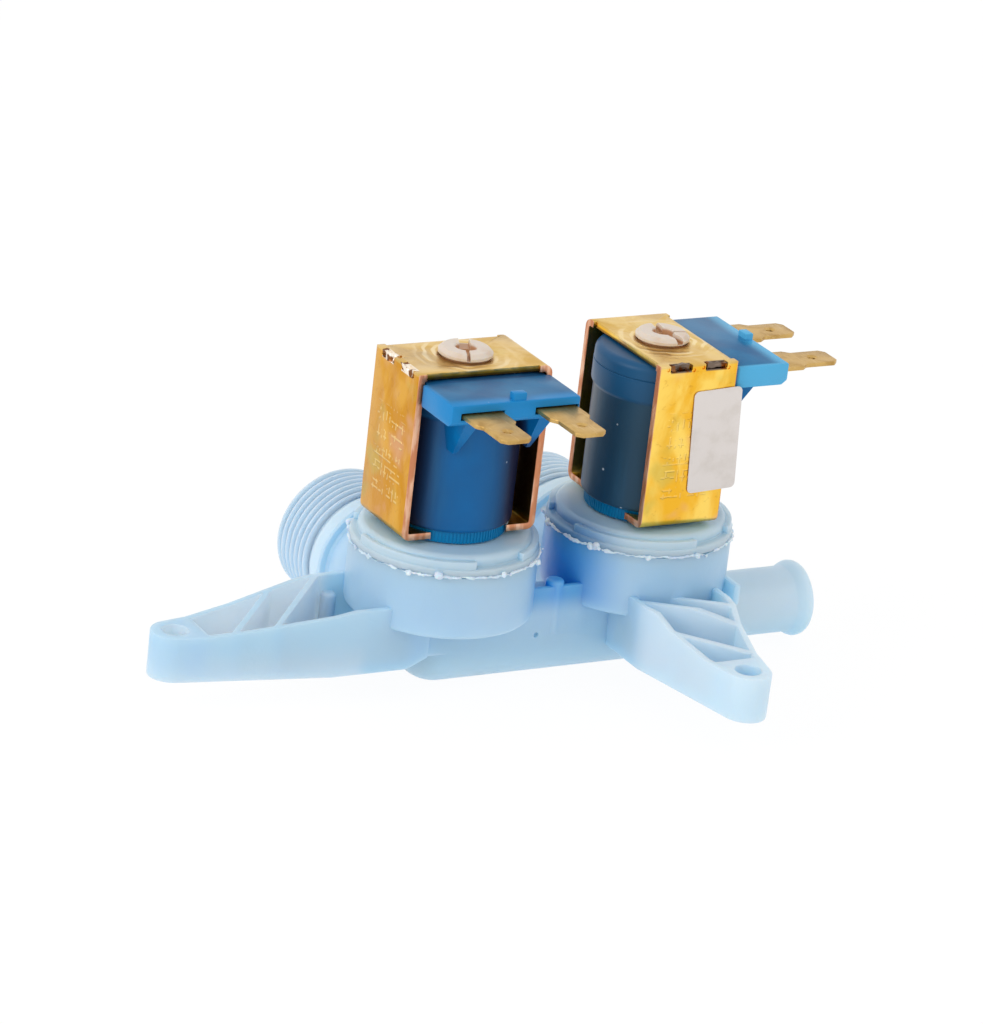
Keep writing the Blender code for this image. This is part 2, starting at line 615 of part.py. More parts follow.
def coil(name, x, turn, stuff):
    """Moulded coil: round winding cover, collar, fluted foot and terminal block towards local -Y."""
    core = FOOT_RADIUS - 3 * FLUTE_DEPTH
    profile = [(0, COIL_BASE + 0.0002), (core, COIL_BASE + 0.0002), (core, COIL_SHOULDER)]
    profile += [(COIL_RADIUS - 0.0006, COIL_SHOULDER), (COIL_RADIUS, COIL_SHOULDER + 0.0008)]
    collar = COIL_TOP - COLLAR_HEIGHT
    profile += [(COIL_RADIUS, collar), (COLLAR_RADIUS, collar + 0.0005), (COLLAR_RADIUS, COIL_TOP - 0.0013)]
    profile += [(COLLAR_RADIUS - 0.0004, COIL_TOP - 0.0004), (COLLAR_RADIUS - 0.0013, COIL_TOP), (0, COIL_TOP)]
    cover = turned("coil", profile, FINE)
    flutes = []
    for step in range(2 * FLUTE_COUNT):
        angle = math.pi * step / FLUTE_COUNT
        radius = FOOT_RADIUS - (step % 2) * FLUTE_DEPTH
        flutes.append((radius * math.cos(angle), radius * math.sin(angle)))
    join(cover, prism("flutes", flutes, COIL_BASE, COIL_SHOULDER + 0.0004))
    low = COIL_TOP - BLOCK_THICKNESS
    step_out = YOKE_WIDTH / 2 + GAP
    root = [(-COLLAR_RADIUS, -COLLAR_RADIUS / 3), (-COLLAR_RADIUS, -step_out - 0.0003), (COLLAR_RADIUS, -step_out - 0.0003)]
    root.append((COLLAR_RADIUS, -COLLAR_RADIUS / 3))
    join(cover, prism("block_root", root, low, COIL_TOP - 0.0001))
    side = [(-step_out, COIL_TOP), (-BLOCK_FRONT + 0.0003, COIL_TOP), (-BLOCK_FRONT, COIL_TOP - 0.0003)]
    side += [(-BLOCK_FRONT, low + 0.0009), (-BLOCK_FRONT + 0.0012, low), (-step_out, low)]
    lengthways = Matrix(((0, 0, 1, 0), (1, 0, 0, 0), (0, 1, 0, 0), (0, 0, 0, 1)))
    join(cover, prism("block", side, -BLOCK_HALF_WIDTH, BLOCK_HALF_WIDTH, lengthways))
    reach = COIL_RADIUS + GUSSET_REACH
    web = [(-COIL_RADIUS / 2, low + 0.0005), (-reach, low + 0.0005), (-reach, low), (-COIL_RADIUS, low - GUSSET_DROP)]
    web.append((-COIL_RADIUS / 2, low - GUSSET_DROP))
    for centre in terminal_centres():
        join(cover, prism("gusset", web, centre - GUSSET_WIDTH / 2, centre + GUSSET_WIDTH / 2, lengthways))
    nub_low = (-NUB_WIDTH / 2, -BLOCK_FRONT + 0.0004, COIL_TOP - 0.0005)
    nub_high = (NUB_WIDTH / 2, -BLOCK_FRONT + 0.0004 + NUB_DEPTH, COIL_TOP + NUB_HEIGHT)
    join(cover, box("nub", nub_low, nub_high))
    bore = [(0, COIL_BASE - GAP), (HUB_RADIUS + GAP, COIL_BASE - GAP)]
    bore += [(HUB_RADIUS + GAP, BONNET_TOP + HUB_HEIGHT + GAP), (BORE_RADIUS, BONNET_TOP + HUB_HEIGHT + GAP)]
    bore += [(BORE_RADIUS, COIL_TOP + GAP), (0, COIL_TOP + GAP)]
    cut(cover, turned("bore", bore, MEDIUM))
    middle = COIL_TOP - TERMINAL_DROP
    for centre in terminal_centres():
        half = TERMINAL_ROOT_WIDTH / 2 + GAP
        slot_low = (centre - half, -BLOCK_FRONT - GAP, middle - BLADE_THICKNESS / 2 - GAP)
        slot_high = (centre + half, -BLOCK_FRONT + TERMINAL_TAIL + GAP, middle + BLADE_THICKNESS / 2 + GAP)
        cut(cover, box("slot", slot_low, slot_high))
    cover.data.transform(Matrix.Translation((x, 0, 0)) @ Matrix.Rotation(math.radians(turn), 4, "Z"))
    return finish(cover, name, stuff)


def terminal(name, x, turn, centre, stuff):
    """Brass blade with a wide root, shoulders, a locating hole and a chamfered tip."""
    root = TERMINAL_ROOT_WIDTH / 2
    half = BLADE_WIDTH / 2
    inner = -BLOCK_FRONT + TERMINAL_TAIL
    shoulder = -BLOCK_FRONT - TERMINAL_ROOT_LENGTH
    tip = shoulder - BLADE_LENGTH
    outline = [(-root, inner), (-root, shoulder + 0.0008), (-root + 0.0008, shoulder), (-half, shoulder)]
    outline += [(-half, tip + BLADE_CHAMFER), (-half + BLADE_CHAMFER, tip), (half - BLADE_CHAMFER, tip)]
    outline += [(half, tip + BLADE_CHAMFER), (half, shoulder), (root - 0.0008, shoulder), (root, shoulder + 0.0008)]
    outline.append((root, inner))
    middle = COIL_TOP - TERMINAL_DROP
    thick = BLADE_THICKNESS / 2
    blade = prism("blade", outline, middle - thick, middle + thick)
    edge = 0.0002
    bevel = blade.modifiers.new("edges", "BEVEL")
    bevel.width = edge
    bevel.segments = 1
    bevel.limit_method = "ANGLE"
    bpy.context.view_layer.update()
    blade_mesh = bpy.data.meshes.new_from_object(blade.evaluated_get(bpy.context.evaluated_depsgraph_get()))
    blade.modifiers.clear()
    blade.data = blade_mesh
    hole = [(0, middle - BLADE_LENGTH), (BLADE_HOLE_RADIUS, middle - BLADE_LENGTH)]
    hole += [(BLADE_HOLE_RADIUS, middle + BLADE_LENGTH), (0, middle + BLADE_LENGTH)]
    cut(blade, turned("hole", hole, 20, Matrix.Translation((0, shoulder - 0.45 * BLADE_LENGTH, 0))))
    blade.data.transform(Matrix.Translation((x, 0, 0)) @ Matrix.Rotation(math.radians(turn), 4, "Z")
                         @ Matrix.Translation((centre, 0, 0)))
    return finish(blade, name, stuff)


def guide_tube(name, x, turn, stuff):
    """Closed nylon tube with a flange below the bonnet and a slotted snap head over the yoke."""
    bore = GUIDE_RADIUS - GUIDE_WALL
    head_top = HEAD_BASE + HEAD_HEIGHT
    profile = [(GUIDE_FLANGE_RADIUS, FLANGE_BASE), (GUIDE_FLANGE_RADIUS, FLANGE_TOP), (GUIDE_RADIUS, FLANGE_TOP)]
    profile += [(GUIDE_RADIUS, HEAD_BASE), (HEAD_RADIUS, HEAD_BASE), (HEAD_RADIUS, head_top - 0.0004)]
    profile += [(HEAD_RADIUS - 0.0005, head_top), (0, head_top)]
    tube = turned("guide", [(0, FLANGE_BASE)] + profile, MEDIUM)
    inside = [(0, FLANGE_BASE - GAP), (bore, FLANGE_BASE - GAP), (bore, GUIDE_CEILING), (0, GUIDE_CEILING)]
    cut(tube, turned("inside", inside, COARSE))
    slot_low = (-HEAD_SLOT_WIDTH / 2, -HEAD_RADIUS / 6, head_top - HEAD_SLOT_DEPTH)
    slot_high = (HEAD_SLOT_WIDTH / 2, HEAD_RADIUS + GAP, head_top + GAP)
    cut(tube, box("slot", slot_low, slot_high))
    tube.data.transform(Matrix.Translation((x, 0, 0)) @ Matrix.Rotation(math.radians(turn), 4, "Z"))
    return finish(tube, name, stuff)


def plunger(name, x, stuff):
    """Steel armature with two water grooves and a socket for the rubber tip."""
    profile = [(0, PLUNGER_BASE), (PLUNGER_RADIUS - 0.0003, PLUNGER_BASE), (PLUNGER_RADIUS, PLUNGER_BASE + 0.0003)]
    profile += [(PLUNGER_RADIUS, PLUNGER_TOP - 0.0003), (PLUNGER_RADIUS - 0.0003, PLUNGER_TOP), (0, PLUNGER_TOP)]
    core = turned("plunger", profile, COARSE)
    for side in (-1, 1):
        edges = sorted((side * (PLUNGER_RADIUS - PLUNGER_GROOVE), side * 2 * PLUNGER_RADIUS))
        low = (edges[0], -PLUNGER_GROOVE, PLUNGER_BASE - GAP)
        high = (edges[1], PLUNGER_GROOVE, PLUNGER_TOP + GAP)
        cut(core, box("groove", low, high))
    socket_top = TIP_BASE + TIP_LENGTH + GAP
    socket = [(0, PLUNGER_BASE - GAP), (TIP_RADIUS + GAP, PLUNGER_BASE - GAP), (TIP_RADIUS + GAP, socket_top), (0, socket_top)]
    cut(core, turned("socket", socket, COARSE))
    core.data.transform(Matrix.Translation((x, 0, 0)))
    finish(core, name, stuff)
    return set_origin(core, x, PLUNGER_BASE)


def plunger_tip(name, x, stuff):
    """Rubber plug that closes the pilot hole."""
    end = TIP_BASE + TIP_LENGTH
    profile = [(0, TIP_BASE), (TIP_RADIUS - 0.0005, TIP_BASE), (TIP_RADIUS, TIP_BASE + 0.0006), (TIP_RADIUS, end), (0, end)]
    plug = turned("tip", profile, 24, Matrix.Translation((x, 0, 0)))
    finish(plug, name, stuff)
    return set_origin(plug, x, TIP_BASE)


def spring(name, x, stuff):
    """Return spring between the plunger and the closed end of the guide tube."""
    low = PLUNGER_TOP + GAP + SPRING_WIRE
    high = GUIDE_CEILING - GAP - SPRING_WIRE
    count = SPRING_TURNS * SPRING_STEPS
    shape = bmesh.new()
    rings = []
    for step in range(count + 1):
        share = step / count
        angle = 2 * math.pi * SPRING_TURNS * share
        height = low + (high - low) * share
        outward = Vector((math.cos(angle), math.sin(angle), 0))
        centre = outward * (SPRING_RADIUS - SPRING_WIRE) + Vector((0, 0, height))
        ring = []
        for side in range(SPRING_SIDES):
            turn = 2 * math.pi * side / SPRING_SIDES
            offset = outward * math.cos(turn) + Vector((0, 0, math.sin(turn)))
            ring.append(shape.verts.new(centre + offset * SPRING_WIRE))
        rings.append(ring)
    for low_ring, high_ring in zip(rings, rings[1:]):
        for side in range(SPRING_SIDES):
            following = (side + 1) % SPRING_SIDES
            shape.faces.new((low_ring[side], low_ring[following], high_ring[following], high_ring[side]))
    shape.faces.new(rings[0][::-1])
    shape.faces.new(rings[-1])
    shape.transform(Matrix.Translation((x, 0, 0)))
    return finish(new_object("spring", shape), name, stuff)


def diaphragm(name, x, stuff):
    """Rubber disc with a clamped bead, a thin web and a thick centre over the seat."""
    low = SEAT_HEIGHT + GAP
    top = low + DIAPHRAGM_CENTRE
    hole = INSERT_STEM_RADIUS + GAP
    rim = INNER_RADIUS - GAP - 0.0002
    bead_low, bead_high = LEDGE_HEIGHT + GAP, BONNET_UNDERSIDE - GAP
    web_low = (bead_low + bead_high - DIAPHRAGM_WEB) / 2
    web_high = web_low + DIAPHRAGM_WEB
    shoulder = DIAPHRAGM_CENTRE_RADIUS
    profile = [(hole, low), (shoulder, low), (shoulder + 0.0009, web_low), (rim - BEAD_WIDTH, web_low)]
    profile += [(rim - BEAD_WIDTH, bead_low), (rim, bead_low), (rim, bead_high), (rim - BEAD_WIDTH, bead_high)]
    profile += [(rim - BEAD_WIDTH, web_high), (shoulder + 0.0009, web_high), (shoulder, top), (hole, top)]
    return finish(turned("diaphragm", profile, MEDIUM, Matrix.Translation((x, 0, 0))), name, stuff)


def diaphragm_insert(name, x, stuff):
    """Plastic core of the diaphragm with the pilot hole."""
    low = SEAT_HEIGHT + GAP
    stem = INSERT_STEM_RADIUS
    collar = stem + INSERT_COLLAR
    profile = [(PILOT_RADIUS, low - GAP - INSERT_COLLAR_HEIGHT), (collar - 0.0005, low - GAP - INSERT_COLLAR_HEIGHT)]
    profile += [(collar, low - GAP - 0.0006), (collar, low - GAP), (stem, low - GAP), (stem, INSERT_TOP - INSERT_FLANGE)]
    profile += [(INSERT_RADIUS, INSERT_TOP - INSERT_FLANGE), (INSERT_RADIUS - 0.0003, INSERT_TOP)]
    profile += [(PILOT_RADIUS, INSERT_TOP)]
    return finish(turned("insert", profile, COARSE, Matrix.Translation((x, 0, 0))), name, stuff)


def flow_washer(name, x, stuff):
    """Rubber washer on the shelf of the inlet bore."""
    low = INLET_SHELF + GAP
    rim = INLET_BORE - GAP
    high = low + WASHER_THICKNESS
    profile = [(WASHER_HOLE_RADIUS, low), (rim, low), (rim, high), (WASHER_HOLE_RADIUS + 0.0006, high)]
    profile.append((WASHER_HOLE_RADIUS, high - 0.0006))
    return finish(turned("washer", profile, MEDIUM, along_y(x, 0, INLET_HEIGHT)), name, stuff)


def inlet_screen(name, x, stuff):
    """Cup-shaped strainer with slots, its rim on the flow washer and its nose to the hose."""
    low = INLET_SHELF + GAP + WASHER_THICKNESS + GAP
    rim = INLET_BORE - GAP
    shoulder = rim - SCREEN_RIM_WIDTH
    nose = low + SCREEN_DEPTH
    outer = [(rim, low), (rim, low + SCREEN_RIM), (shoulder, low + SCREEN_RIM), (SCREEN_NOSE_RADIUS, nose), (0, nose)]
    inner = [(0, nose - SCREEN_WALL), (SCREEN_NOSE_RADIUS - SCREEN_WALL / 2, nose - SCREEN_WALL)]
    inner.append((shoulder - SCREEN_WALL, low))
    strainer = turned("screen", outer + inner, MEDIUM)
    middle = (shoulder + SCREEN_NOSE_RADIUS) / 2
    span = 0.3 * (shoulder - SCREEN_NOSE_RADIUS)
    for index in range(SCREEN_SLOTS):
        spoke = Matrix.Rotation(2 * math.pi * index / SCREEN_SLOTS, 4, "Z")
        slot_low = (middle - span, -SCREEN_SLOT_WIDTH / 2, low + SCREEN_RIM / 2)
        slot_high = (middle + span, SCREEN_SLOT_WIDTH / 2, nose + GAP)
        cut(strainer, box("slot", slot_low, slot_high, spoke))
    strainer.data.transform(along_y(x, 0, INLET_HEIGHT))
    return finish(strainer, name, stuff)


def label(name, x, stuff):
    """Blank sticker that overhangs the right edge of the near panel."""
    outline = rounded_rectangle(LABEL_WIDTH, LABEL_HEIGHT, LABEL_CORNER, 4)
    right = x + YOKE_WIDTH / 2 + LABEL_OVERHANG
    middle = (right - LABEL_WIDTH / 2, -YOKE_LENGTH / 2 - LABEL_GAP, YOKE_TOP - LABEL_DROP - LABEL_HEIGHT / 2)
    upright = Matrix.Rotation(math.radians(90), 4, "X") @ Matrix.Rotation(math.radians(-LABEL_TILT), 4, "Z")
    place = Matrix.Translation(middle) @ upright
    return finish(prism("label", outline, 0, LABEL_THICKNESS, place), name, stuff)


def build():
    """Clears the scene and models every piece."""
    for old in list(bpy.data.objects):
        bpy.data.objects.remove(old, do_unlink=True)
    moulding = material("pale blue plastic", (0.45, 0.69, 0.88), 0.35)
    steel = material("yellow zinc steel", (0.80, 0.58, 0.20), 0.3, 1.0)
    cover = material("blue moulded cover", (0.03, 0.17, 0.38), 0.35)
    brass = material("brass", (0.72, 0.56, 0.30), 0.35, 1.0)
    nylon = material("natural nylon", (0.83, 0.80, 0.73), 0.45)
    armature = material("armature steel", (0.55, 0.56, 0.58), 0.3, 1.0)
    rubber = material("black rubber", (0.03, 0.03, 0.03), 0.7)
    wire = material("spring wire", (0.62, 0.62, 0.62), 0.25, 1.0)
    mesh_plastic = material("strainer plastic", (0.85, 0.85, 0.82), 0.5)
    paper = material("white sticker", (0.9, 0.9, 0.88), 0.5)
    valve_body(moulding)
    for letter, x, turn, weld_turn in (("a", 0, 0, 261.5), ("b", CHAMBER_SPACING, 90, 278)):
        bonnet(f"bonnet_{letter}", x, weld_turn, moulding)
        yoke(f"yoke_{letter}", x, turn, steel)
        coil(f"coil_{letter}", x, turn, cover)
        for number, centre in enumerate(terminal_centres(), 1):
            terminal(f"terminal_{letter}{number}", x, turn, centre, brass)
        guide_tube(f"guide_tube_{letter}", x, turn, nylon)
        plunger(f"plunger_{letter}", x, armature)
        plunger_tip(f"plunger_tip_{letter}", x, rubber)
        spring(f"plunger_spring_{letter}", x, wire)
        diaphragm(f"diaphragm_{letter}", x, rubber)
        diaphragm_insert(f"diaphragm_insert_{letter}", x, nylon)
        flow_washer(f"flow_washer_{letter}", x, rubber)
        inlet_screen(f"inlet_screen_{letter}", x, mesh_plastic)
    label("label", CHAMBER_SPACING, paper)


build()
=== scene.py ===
"""Looks of the washing machine inlet valve: moulded body with threads and weld flash, yellow
zinc yokes, blue coils, brass blades and a blank sticker, on a pale floor in soft studio light.

All sizes are metres. Shapes are drawn from a point below the axis of the first chamber, on the
plane the valve rests on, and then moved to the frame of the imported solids.
"""

import math

import bmesh
import bpy
from mathutils import Matrix, Vector, noise


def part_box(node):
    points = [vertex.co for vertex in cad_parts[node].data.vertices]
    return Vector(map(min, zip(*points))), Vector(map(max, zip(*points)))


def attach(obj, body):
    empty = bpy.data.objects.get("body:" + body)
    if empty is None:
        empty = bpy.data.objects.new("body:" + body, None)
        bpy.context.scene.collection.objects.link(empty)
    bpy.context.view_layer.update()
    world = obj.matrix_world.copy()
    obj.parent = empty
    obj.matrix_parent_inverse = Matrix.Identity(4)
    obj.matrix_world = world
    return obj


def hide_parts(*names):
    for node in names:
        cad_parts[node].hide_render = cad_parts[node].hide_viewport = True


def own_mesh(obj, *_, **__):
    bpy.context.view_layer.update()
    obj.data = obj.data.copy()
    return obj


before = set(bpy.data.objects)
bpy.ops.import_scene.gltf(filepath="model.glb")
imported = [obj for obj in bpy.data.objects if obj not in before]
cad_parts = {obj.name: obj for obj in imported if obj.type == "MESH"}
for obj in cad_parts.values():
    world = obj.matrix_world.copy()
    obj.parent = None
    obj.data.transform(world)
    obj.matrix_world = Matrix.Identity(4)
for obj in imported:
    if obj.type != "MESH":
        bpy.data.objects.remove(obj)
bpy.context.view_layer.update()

# Without a seed the lumps of the peened tabs would differ from run to run
noise.seed_set(1)

# Where the chambers stand in the frame of the solids, and the room between pieces
MIDDLE_X = 0.0107
MIDDLE_Y = -0.00295
SPACING = 0.0422
GAP = 0.0003
HOME = Matrix.Translation((-MIDDLE_X, -MIDDLE_Y, 0))

# Body
CHAMBER_RADIUS = 0.0178
CHAMBER_BASE = 0.015
CHAMBER_FLOOR = 0.002
INNER_RADIUS = 0.0156
CUP_RADIUS = 0.014
WELD_HEIGHT = 0.0276
LEDGE_HEIGHT = 0.0259
SEAT_HEIGHT = 0.0252
SEAT_RADIUS = 0.007
SEAT_BORE = 0.0052
MANIFOLD_RADIUS = 0.0082
MANIFOLD_BORE = 0.006
SHOULDER = 0.0602
OUTLET_RADIUS = 0.00645
OUTLET_BORE = 0.0049
OUTLET_END = 0.0804
BEAD_RADIUS = 0.0074
BEAD_LENGTH = 0.0036
INLET_HEIGHT = 0.0134
INLET_REACH = 0.0422
THREAD_RADIUS = 0.01322
THREAD_PITCH = 0.001814
THREAD_DEPTH = 0.0011
THREAD_LENGTH = 0.0145
BARREL_LENGTH = 0.019
NECK_RADIUS = 0.0112
INLET_BORE = 0.0103
INLET_SHELF = 0.0267
PASSAGE_RADIUS = 0.0068
PASSAGE_END = 0.009
ARM_BASE = 0.0064
ARM_FLOOR = 0.002
ARM_WALL = 0.0017
ARM_HALF_WIDTH = 0.01
ARM_DRAFT = 0.0008
ARM_TOP = 0.0193
BOSS_TOP = 0.0153
BOSS_RADIUS = 0.0047
SCREW_HOLE_RADIUS = 0.0025
RIB_THICKNESS = 0.0013
WEB_TOP = 0.0196

# Caps
CAP_TOP = 0.0312
CAP_RIM = 0.029
STEP_RADIUS = 0.0164
HUB_RADIUS = 0.0068
HUB_TOP = 0.033
TUBE_RADIUS = 0.0046
BORE_RADIUS = 0.0049
TUBE_BORE = 0.0039
TUBE_CEILING = 0.0629
FLANGE_RADIUS = 0.0076
FLANGE_TOP = 0.03
CAP_UNDERSIDE = 0.0284
LUG_ARC = 84
LUG_WIDTH = 0.0013
LUG_TOP = 0.0304

# Yokes and coils
YOKE_LENGTH = 0.028
YOKE_WIDTH = 0.0169
YOKE_BASE = 0.0321
YOKE_TOP = 0.0646
SHEET = 0.0013
BEND = 0.0017
FOOT_HOLE_RADIUS = 0.0116
TAB_OFFSET = 0.0038
TAB_HALF_WIDTH = 0.0021
NOTCH_HALF_WIDTH = 0.00235
COIL_RADIUS = 0.0119
COLLAR_RADIUS = 0.0124
COIL_TOP = 0.063
COIL_BASE = 0.0315
COIL_SHOULDER = 0.0337
COLLAR_HEIGHT = 0.0077
FOOT_RADIUS = 0.0113
BLOCK_FRONT = 0.0204
BLOCK_HALF_WIDTH = 0.0133
BLOCK_THICKNESS = 0.0043
BLADE_SPACING = 0.0154
BLADE_SHIFT = 0.0008
BLADE_CENTRES = [BLADE_SHIFT + sign * BLADE_SPACING / 2 for sign in (-1, 1)]
BLADE_HEIGHT = 0.0608
BLADE_LENGTH = 0.0079
BLADE_HALF_WIDTH = 0.003175
BLADE_HALF_SHEET = 0.0004
BLADE_ROOT = 0.0042
BLADE_CORNER = 0.0011
HEAD_BASE = 0.0649
HEAD_TOP = 0.0662
HEAD_RADIUS = 0.00515
SPRING_RADIUS = 0.0026
SPRING_WIRE = 0.0004
SPRING_TURNS = 6.0
PLUNGER_STROKE = 0.003

# Facets round a full turn
FINE = 112
MEDIUM = 72
COARSE = 36


class Socket:
    """The output of a node; arithmetic with it adds Math nodes to its tree."""

    def __init__(self, tree, plug):
        self.tree = tree
        self.plug = plug

    def maths(self, operation, second=0.0, first=None):
        inputs = {0: self if first is None else first, 1: second}
        return self.tree.node("ShaderNodeMath", {"operation": operation}, inputs)

    def __add__(self, other):
        return self.maths("ADD", other)

    def __sub__(self, other):
        return self.maths("SUBTRACT", other)

    def __rsub__(self, other):
        return self.maths("SUBTRACT", self, other)

    def __mul__(self, other):
        return self.maths("MULTIPLY", other)

    def __truediv__(self, other):
        return self.maths("DIVIDE", other)

    def __pow__(self, other):
        return self.maths("POWER", other)

    def __or__(self, other):
        """The larger of two masks."""
        return self.maths("MAXIMUM", other)

    def __abs__(self):
        return self.maths("ABSOLUTE")

    __radd__ = __add__
    __rmul__ = __mul__


class Tree:
    """A node tree, with one way to add any node."""

    def __init__(self, tree):
        self.tree = tree

    def node(self, kind, settings=None, sockets=None, output=0):
        made = self.tree.nodes.new(kind)
        for name, value in (settings or {}).items():
            setattr(made, name, value)
        for key, value in (sockets or {}).items():
            if isinstance(value, Socket):
                self.tree.links.new(value.plug, made.inputs[key])
            else:
                made.inputs[key].default_value = value
        return Socket(self, made.outputs[output])


def paint(red, green, blue):
    """A colour as a screen shows it, from 0 to 255, in the linear numbers that shaders take."""
    return tuple(((c / 255 + 0.055) / 1.055) ** 2.4 if c > 10 else c / 3294.6 for c in (red, green, blue))


class Finish(Tree):
    """A material round one Principled shader, with patterns that read Object coordinates."""

    def __init__(self, name, colour, roughness, **settings):
        self.material = bpy.data.materials.new(name)
        self.material.use_nodes = True
        super().__init__(self.material.node_tree)
        self.shader = self.tree.nodes["Principled BSDF"]
        self.shader.inputs["Base Color"].default_value = (*colour, 1.0)
        self.shader.inputs["Roughness"].default_value = roughness
        for key, value in settings.items():
            self.shader.inputs[key.replace("_", " ")].default_value = value
        self.place = self.node("ShaderNodeTexCoord", output=3)

    def centre(self, x, turn):
        """Makes the patterns start at the axis of a chamber, turned with its yoke."""
        back = Matrix.Rotation(math.radians(-turn), 4, "Z")
        offset = back @ Vector((x - MIDDLE_X, -MIDDLE_Y, 0))
        self.place = self.node("ShaderNodeMapping", sockets={
            0: self.place, 1: (-offset.x, -offset.y, 0), 2: (0, 0, math.radians(-turn))})

    def axes(self):
        split = self.node("ShaderNodeSeparateXYZ", sockets={0: self.place})
        outputs = split.plug.node.outputs
        return [Socket(self, outputs[index]) for index in range(3)]

    def radius(self, across, along):
        """The distance from the axis that the patterns start at."""
        place = self.node("ShaderNodeCombineXYZ", sockets={0: across, 1: along})
        return self.node("ShaderNodeVectorMath", {"operation": "LENGTH"}, {0: place}, 1)

    def noise(self, size, detail=2.0, stretch=(1, 1, 1), distortion=0.0, shift=0.0):
        """Noise with features of about that size, stretched along an axis where that number is below 1."""
        where = self.node("ShaderNodeMapping", sockets={0: self.place, 1: (shift, shift, shift), 3: stretch})
        return self.node("ShaderNodeTexNoise", sockets={
            "Vector": where, "Scale": 1 / size, "Detail": detail, "Distortion": distortion})

    def step(self, value, low, high):
        """0 below the low value and 1 above the high one."""
        return self.node("ShaderNodeMapRange", {"interpolation_type": "SMOOTHSTEP"}, {0: value, 1: low, 2: high})

    def blend(self, mask, first, second):
        colours = {0: mask}
        for key, value in ((6, first), (7, second)):
            colours[key] = value if isinstance(value, Socket) else (*value, 1.0)
        return self.node("ShaderNodeMix", {"data_type": "RGBA"}, colours, 2)

    def look(self, colour, roughness, normal):
        """Feeds what varies over the surface, and gives the finish back."""
        for key, value in (("Base Color", colour), ("Roughness", roughness), ("Normal", normal)):
            self.tree.links.new(value.plug, self.shader.inputs[key])
        return self

    def strokes(self, across, up):
        """Rows of short level and upright strokes, one or two in each small cell."""
        column, row, line = across / 0.00125, up / 0.0013, up / 0.0034
        cell = self.node("ShaderNodeCombineXYZ", sockets={0: column.maths("FLOOR"), 1: row.maths("FLOOR")})
        pick = self.node("ShaderNodeTexWhiteNoise", {"noise_dimensions": "2D"}, {"Vector": cell})

        def stripe(value, wide):
            return self.step(abs(value.maths("FRACT") - 0.5), wide + 0.08, wide)

        upright = stripe(column, 0.1) * self.step(pick, 0.4, 0.42)
        level = stripe(row, 0.1) * self.step(pick, 0.68, 0.66)
        broken = self.step(self.noise(0.0016, 1.0, shift=2.0), 0.42, 0.48)
        return (upright | level) * stripe(line, 0.3) * broken

    def relief(self, height, depth, base=None):
        """A bump of that depth in metres, on top of another bump."""
        sockets = {"Strength": 1.0, "Distance": depth, "Height": height}
        if base:
            sockets["Normal"] = base
        return self.node("ShaderNodeBump", sockets=sockets)


def new_object(name, shape):
    """Puts a bmesh in the scene as an object, with its faces turned outwards."""
    bmesh.ops.recalc_face_normals(shape, faces=shape.faces)
    mesh = bpy.data.meshes.new(name)
    shape.to_mesh(mesh)
    shape.free()
    made = bpy.data.objects.new(name, mesh)
    bpy.context.scene.collection.objects.link(made)
    return made


def turned(profile, steps=FINE, place=Matrix(), phase=0.5):
    """A solid of revolution about Z from a list of (radius, height)."""
    shape = bmesh.new()
    rings = []
    for radius, height in profile:
        if radius == 0:
            rings.append([shape.verts.new((0, 0, height))] * steps)
            continue
        angles = [2 * math.pi * (step + phase) / steps for step in range(steps)]
        rings.append([shape.verts.new((radius * math.cos(a), radius * math.sin(a), height)) for a in angles])
    pairs = list(zip(rings, rings[1:]))
    if profile[0][0] != 0 or profile[-1][0] != 0:
        pairs.append((rings[-1], rings[0]))
    for low, high in pairs:
        for step in range(steps):
            following = (step + 1) % steps
            corners = list(dict.fromkeys((low[step], low[following], high[following], high[step])))
            if len(corners) > 2:
                shape.faces.new(corners)
    shape.transform(place)
    return new_object("turned", shape)


def rod(radius, low, high, steps=FINE, place=Matrix(), phase=0.5):
    """A plain round bar along Z."""
    return turned([(0, low), (radius, low), (radius, high), (0, high)], steps, place, phase)


def prism(outline, low, high, place=Matrix()):
    """An outline in XY, extruded from one height to another."""
    shape = bmesh.new()
    floor = [shape.verts.new((x, y, low)) for x, y in outline]
    roof = [shape.verts.new((x, y, high)) for x, y in outline]
    shape.faces.new(floor[::-1])
    shape.faces.new(roof)
    for index in range(len(outline)):
        following = (index + 1) % len(outline)
        shape.faces.new((floor[index], floor[following], roof[following], roof[index]))
    shape.transform(place)
    return new_object("prism", shape)


def block(low, high, place=Matrix()):
    """An upright box between two corners."""
    outline = [(low[0], low[1]), (high[0], low[1]), (high[0], high[1]), (low[0], high[1])]
    return prism(outline, low[2], high[2], place)


def settle(target):
    """Turns an object's modifiers into its mesh."""
    bpy.context.view_layer.update()
    graph = bpy.context.evaluated_depsgraph_get()
    mesh = bpy.data.meshes.new_from_object(target.evaluated_get(graph))
    target.modifiers.clear()
    target.data = mesh
    return target


def combine(target, operation, tools):
    for tool in tools:
        modifier = target.modifiers.new("shape", "BOOLEAN")
        modifier.operation = operation
        modifier.solver = "EXACT"
        modifier.object = tool
        settle(target)
        bpy.data.objects.remove(tool)
    return target


def join(target, *tools):
    return combine(target, "UNION", tools)


def cut(target, *tools):
    return combine(target, "DIFFERENCE", tools)


def change(target, edit):
    """Lets a function edit the mesh of an object."""
    shape = bmesh.new()
    shape.from_mesh(target.data)
    edit(shape)
    shape.to_mesh(target.data)
    shape.free()
    return target


def gather(target, other):
    """Puts a mesh that touches or crosses another into the same object."""
    change(target, lambda shape: shape.from_mesh(other.data))
    bpy.data.objects.remove(other)
    return target


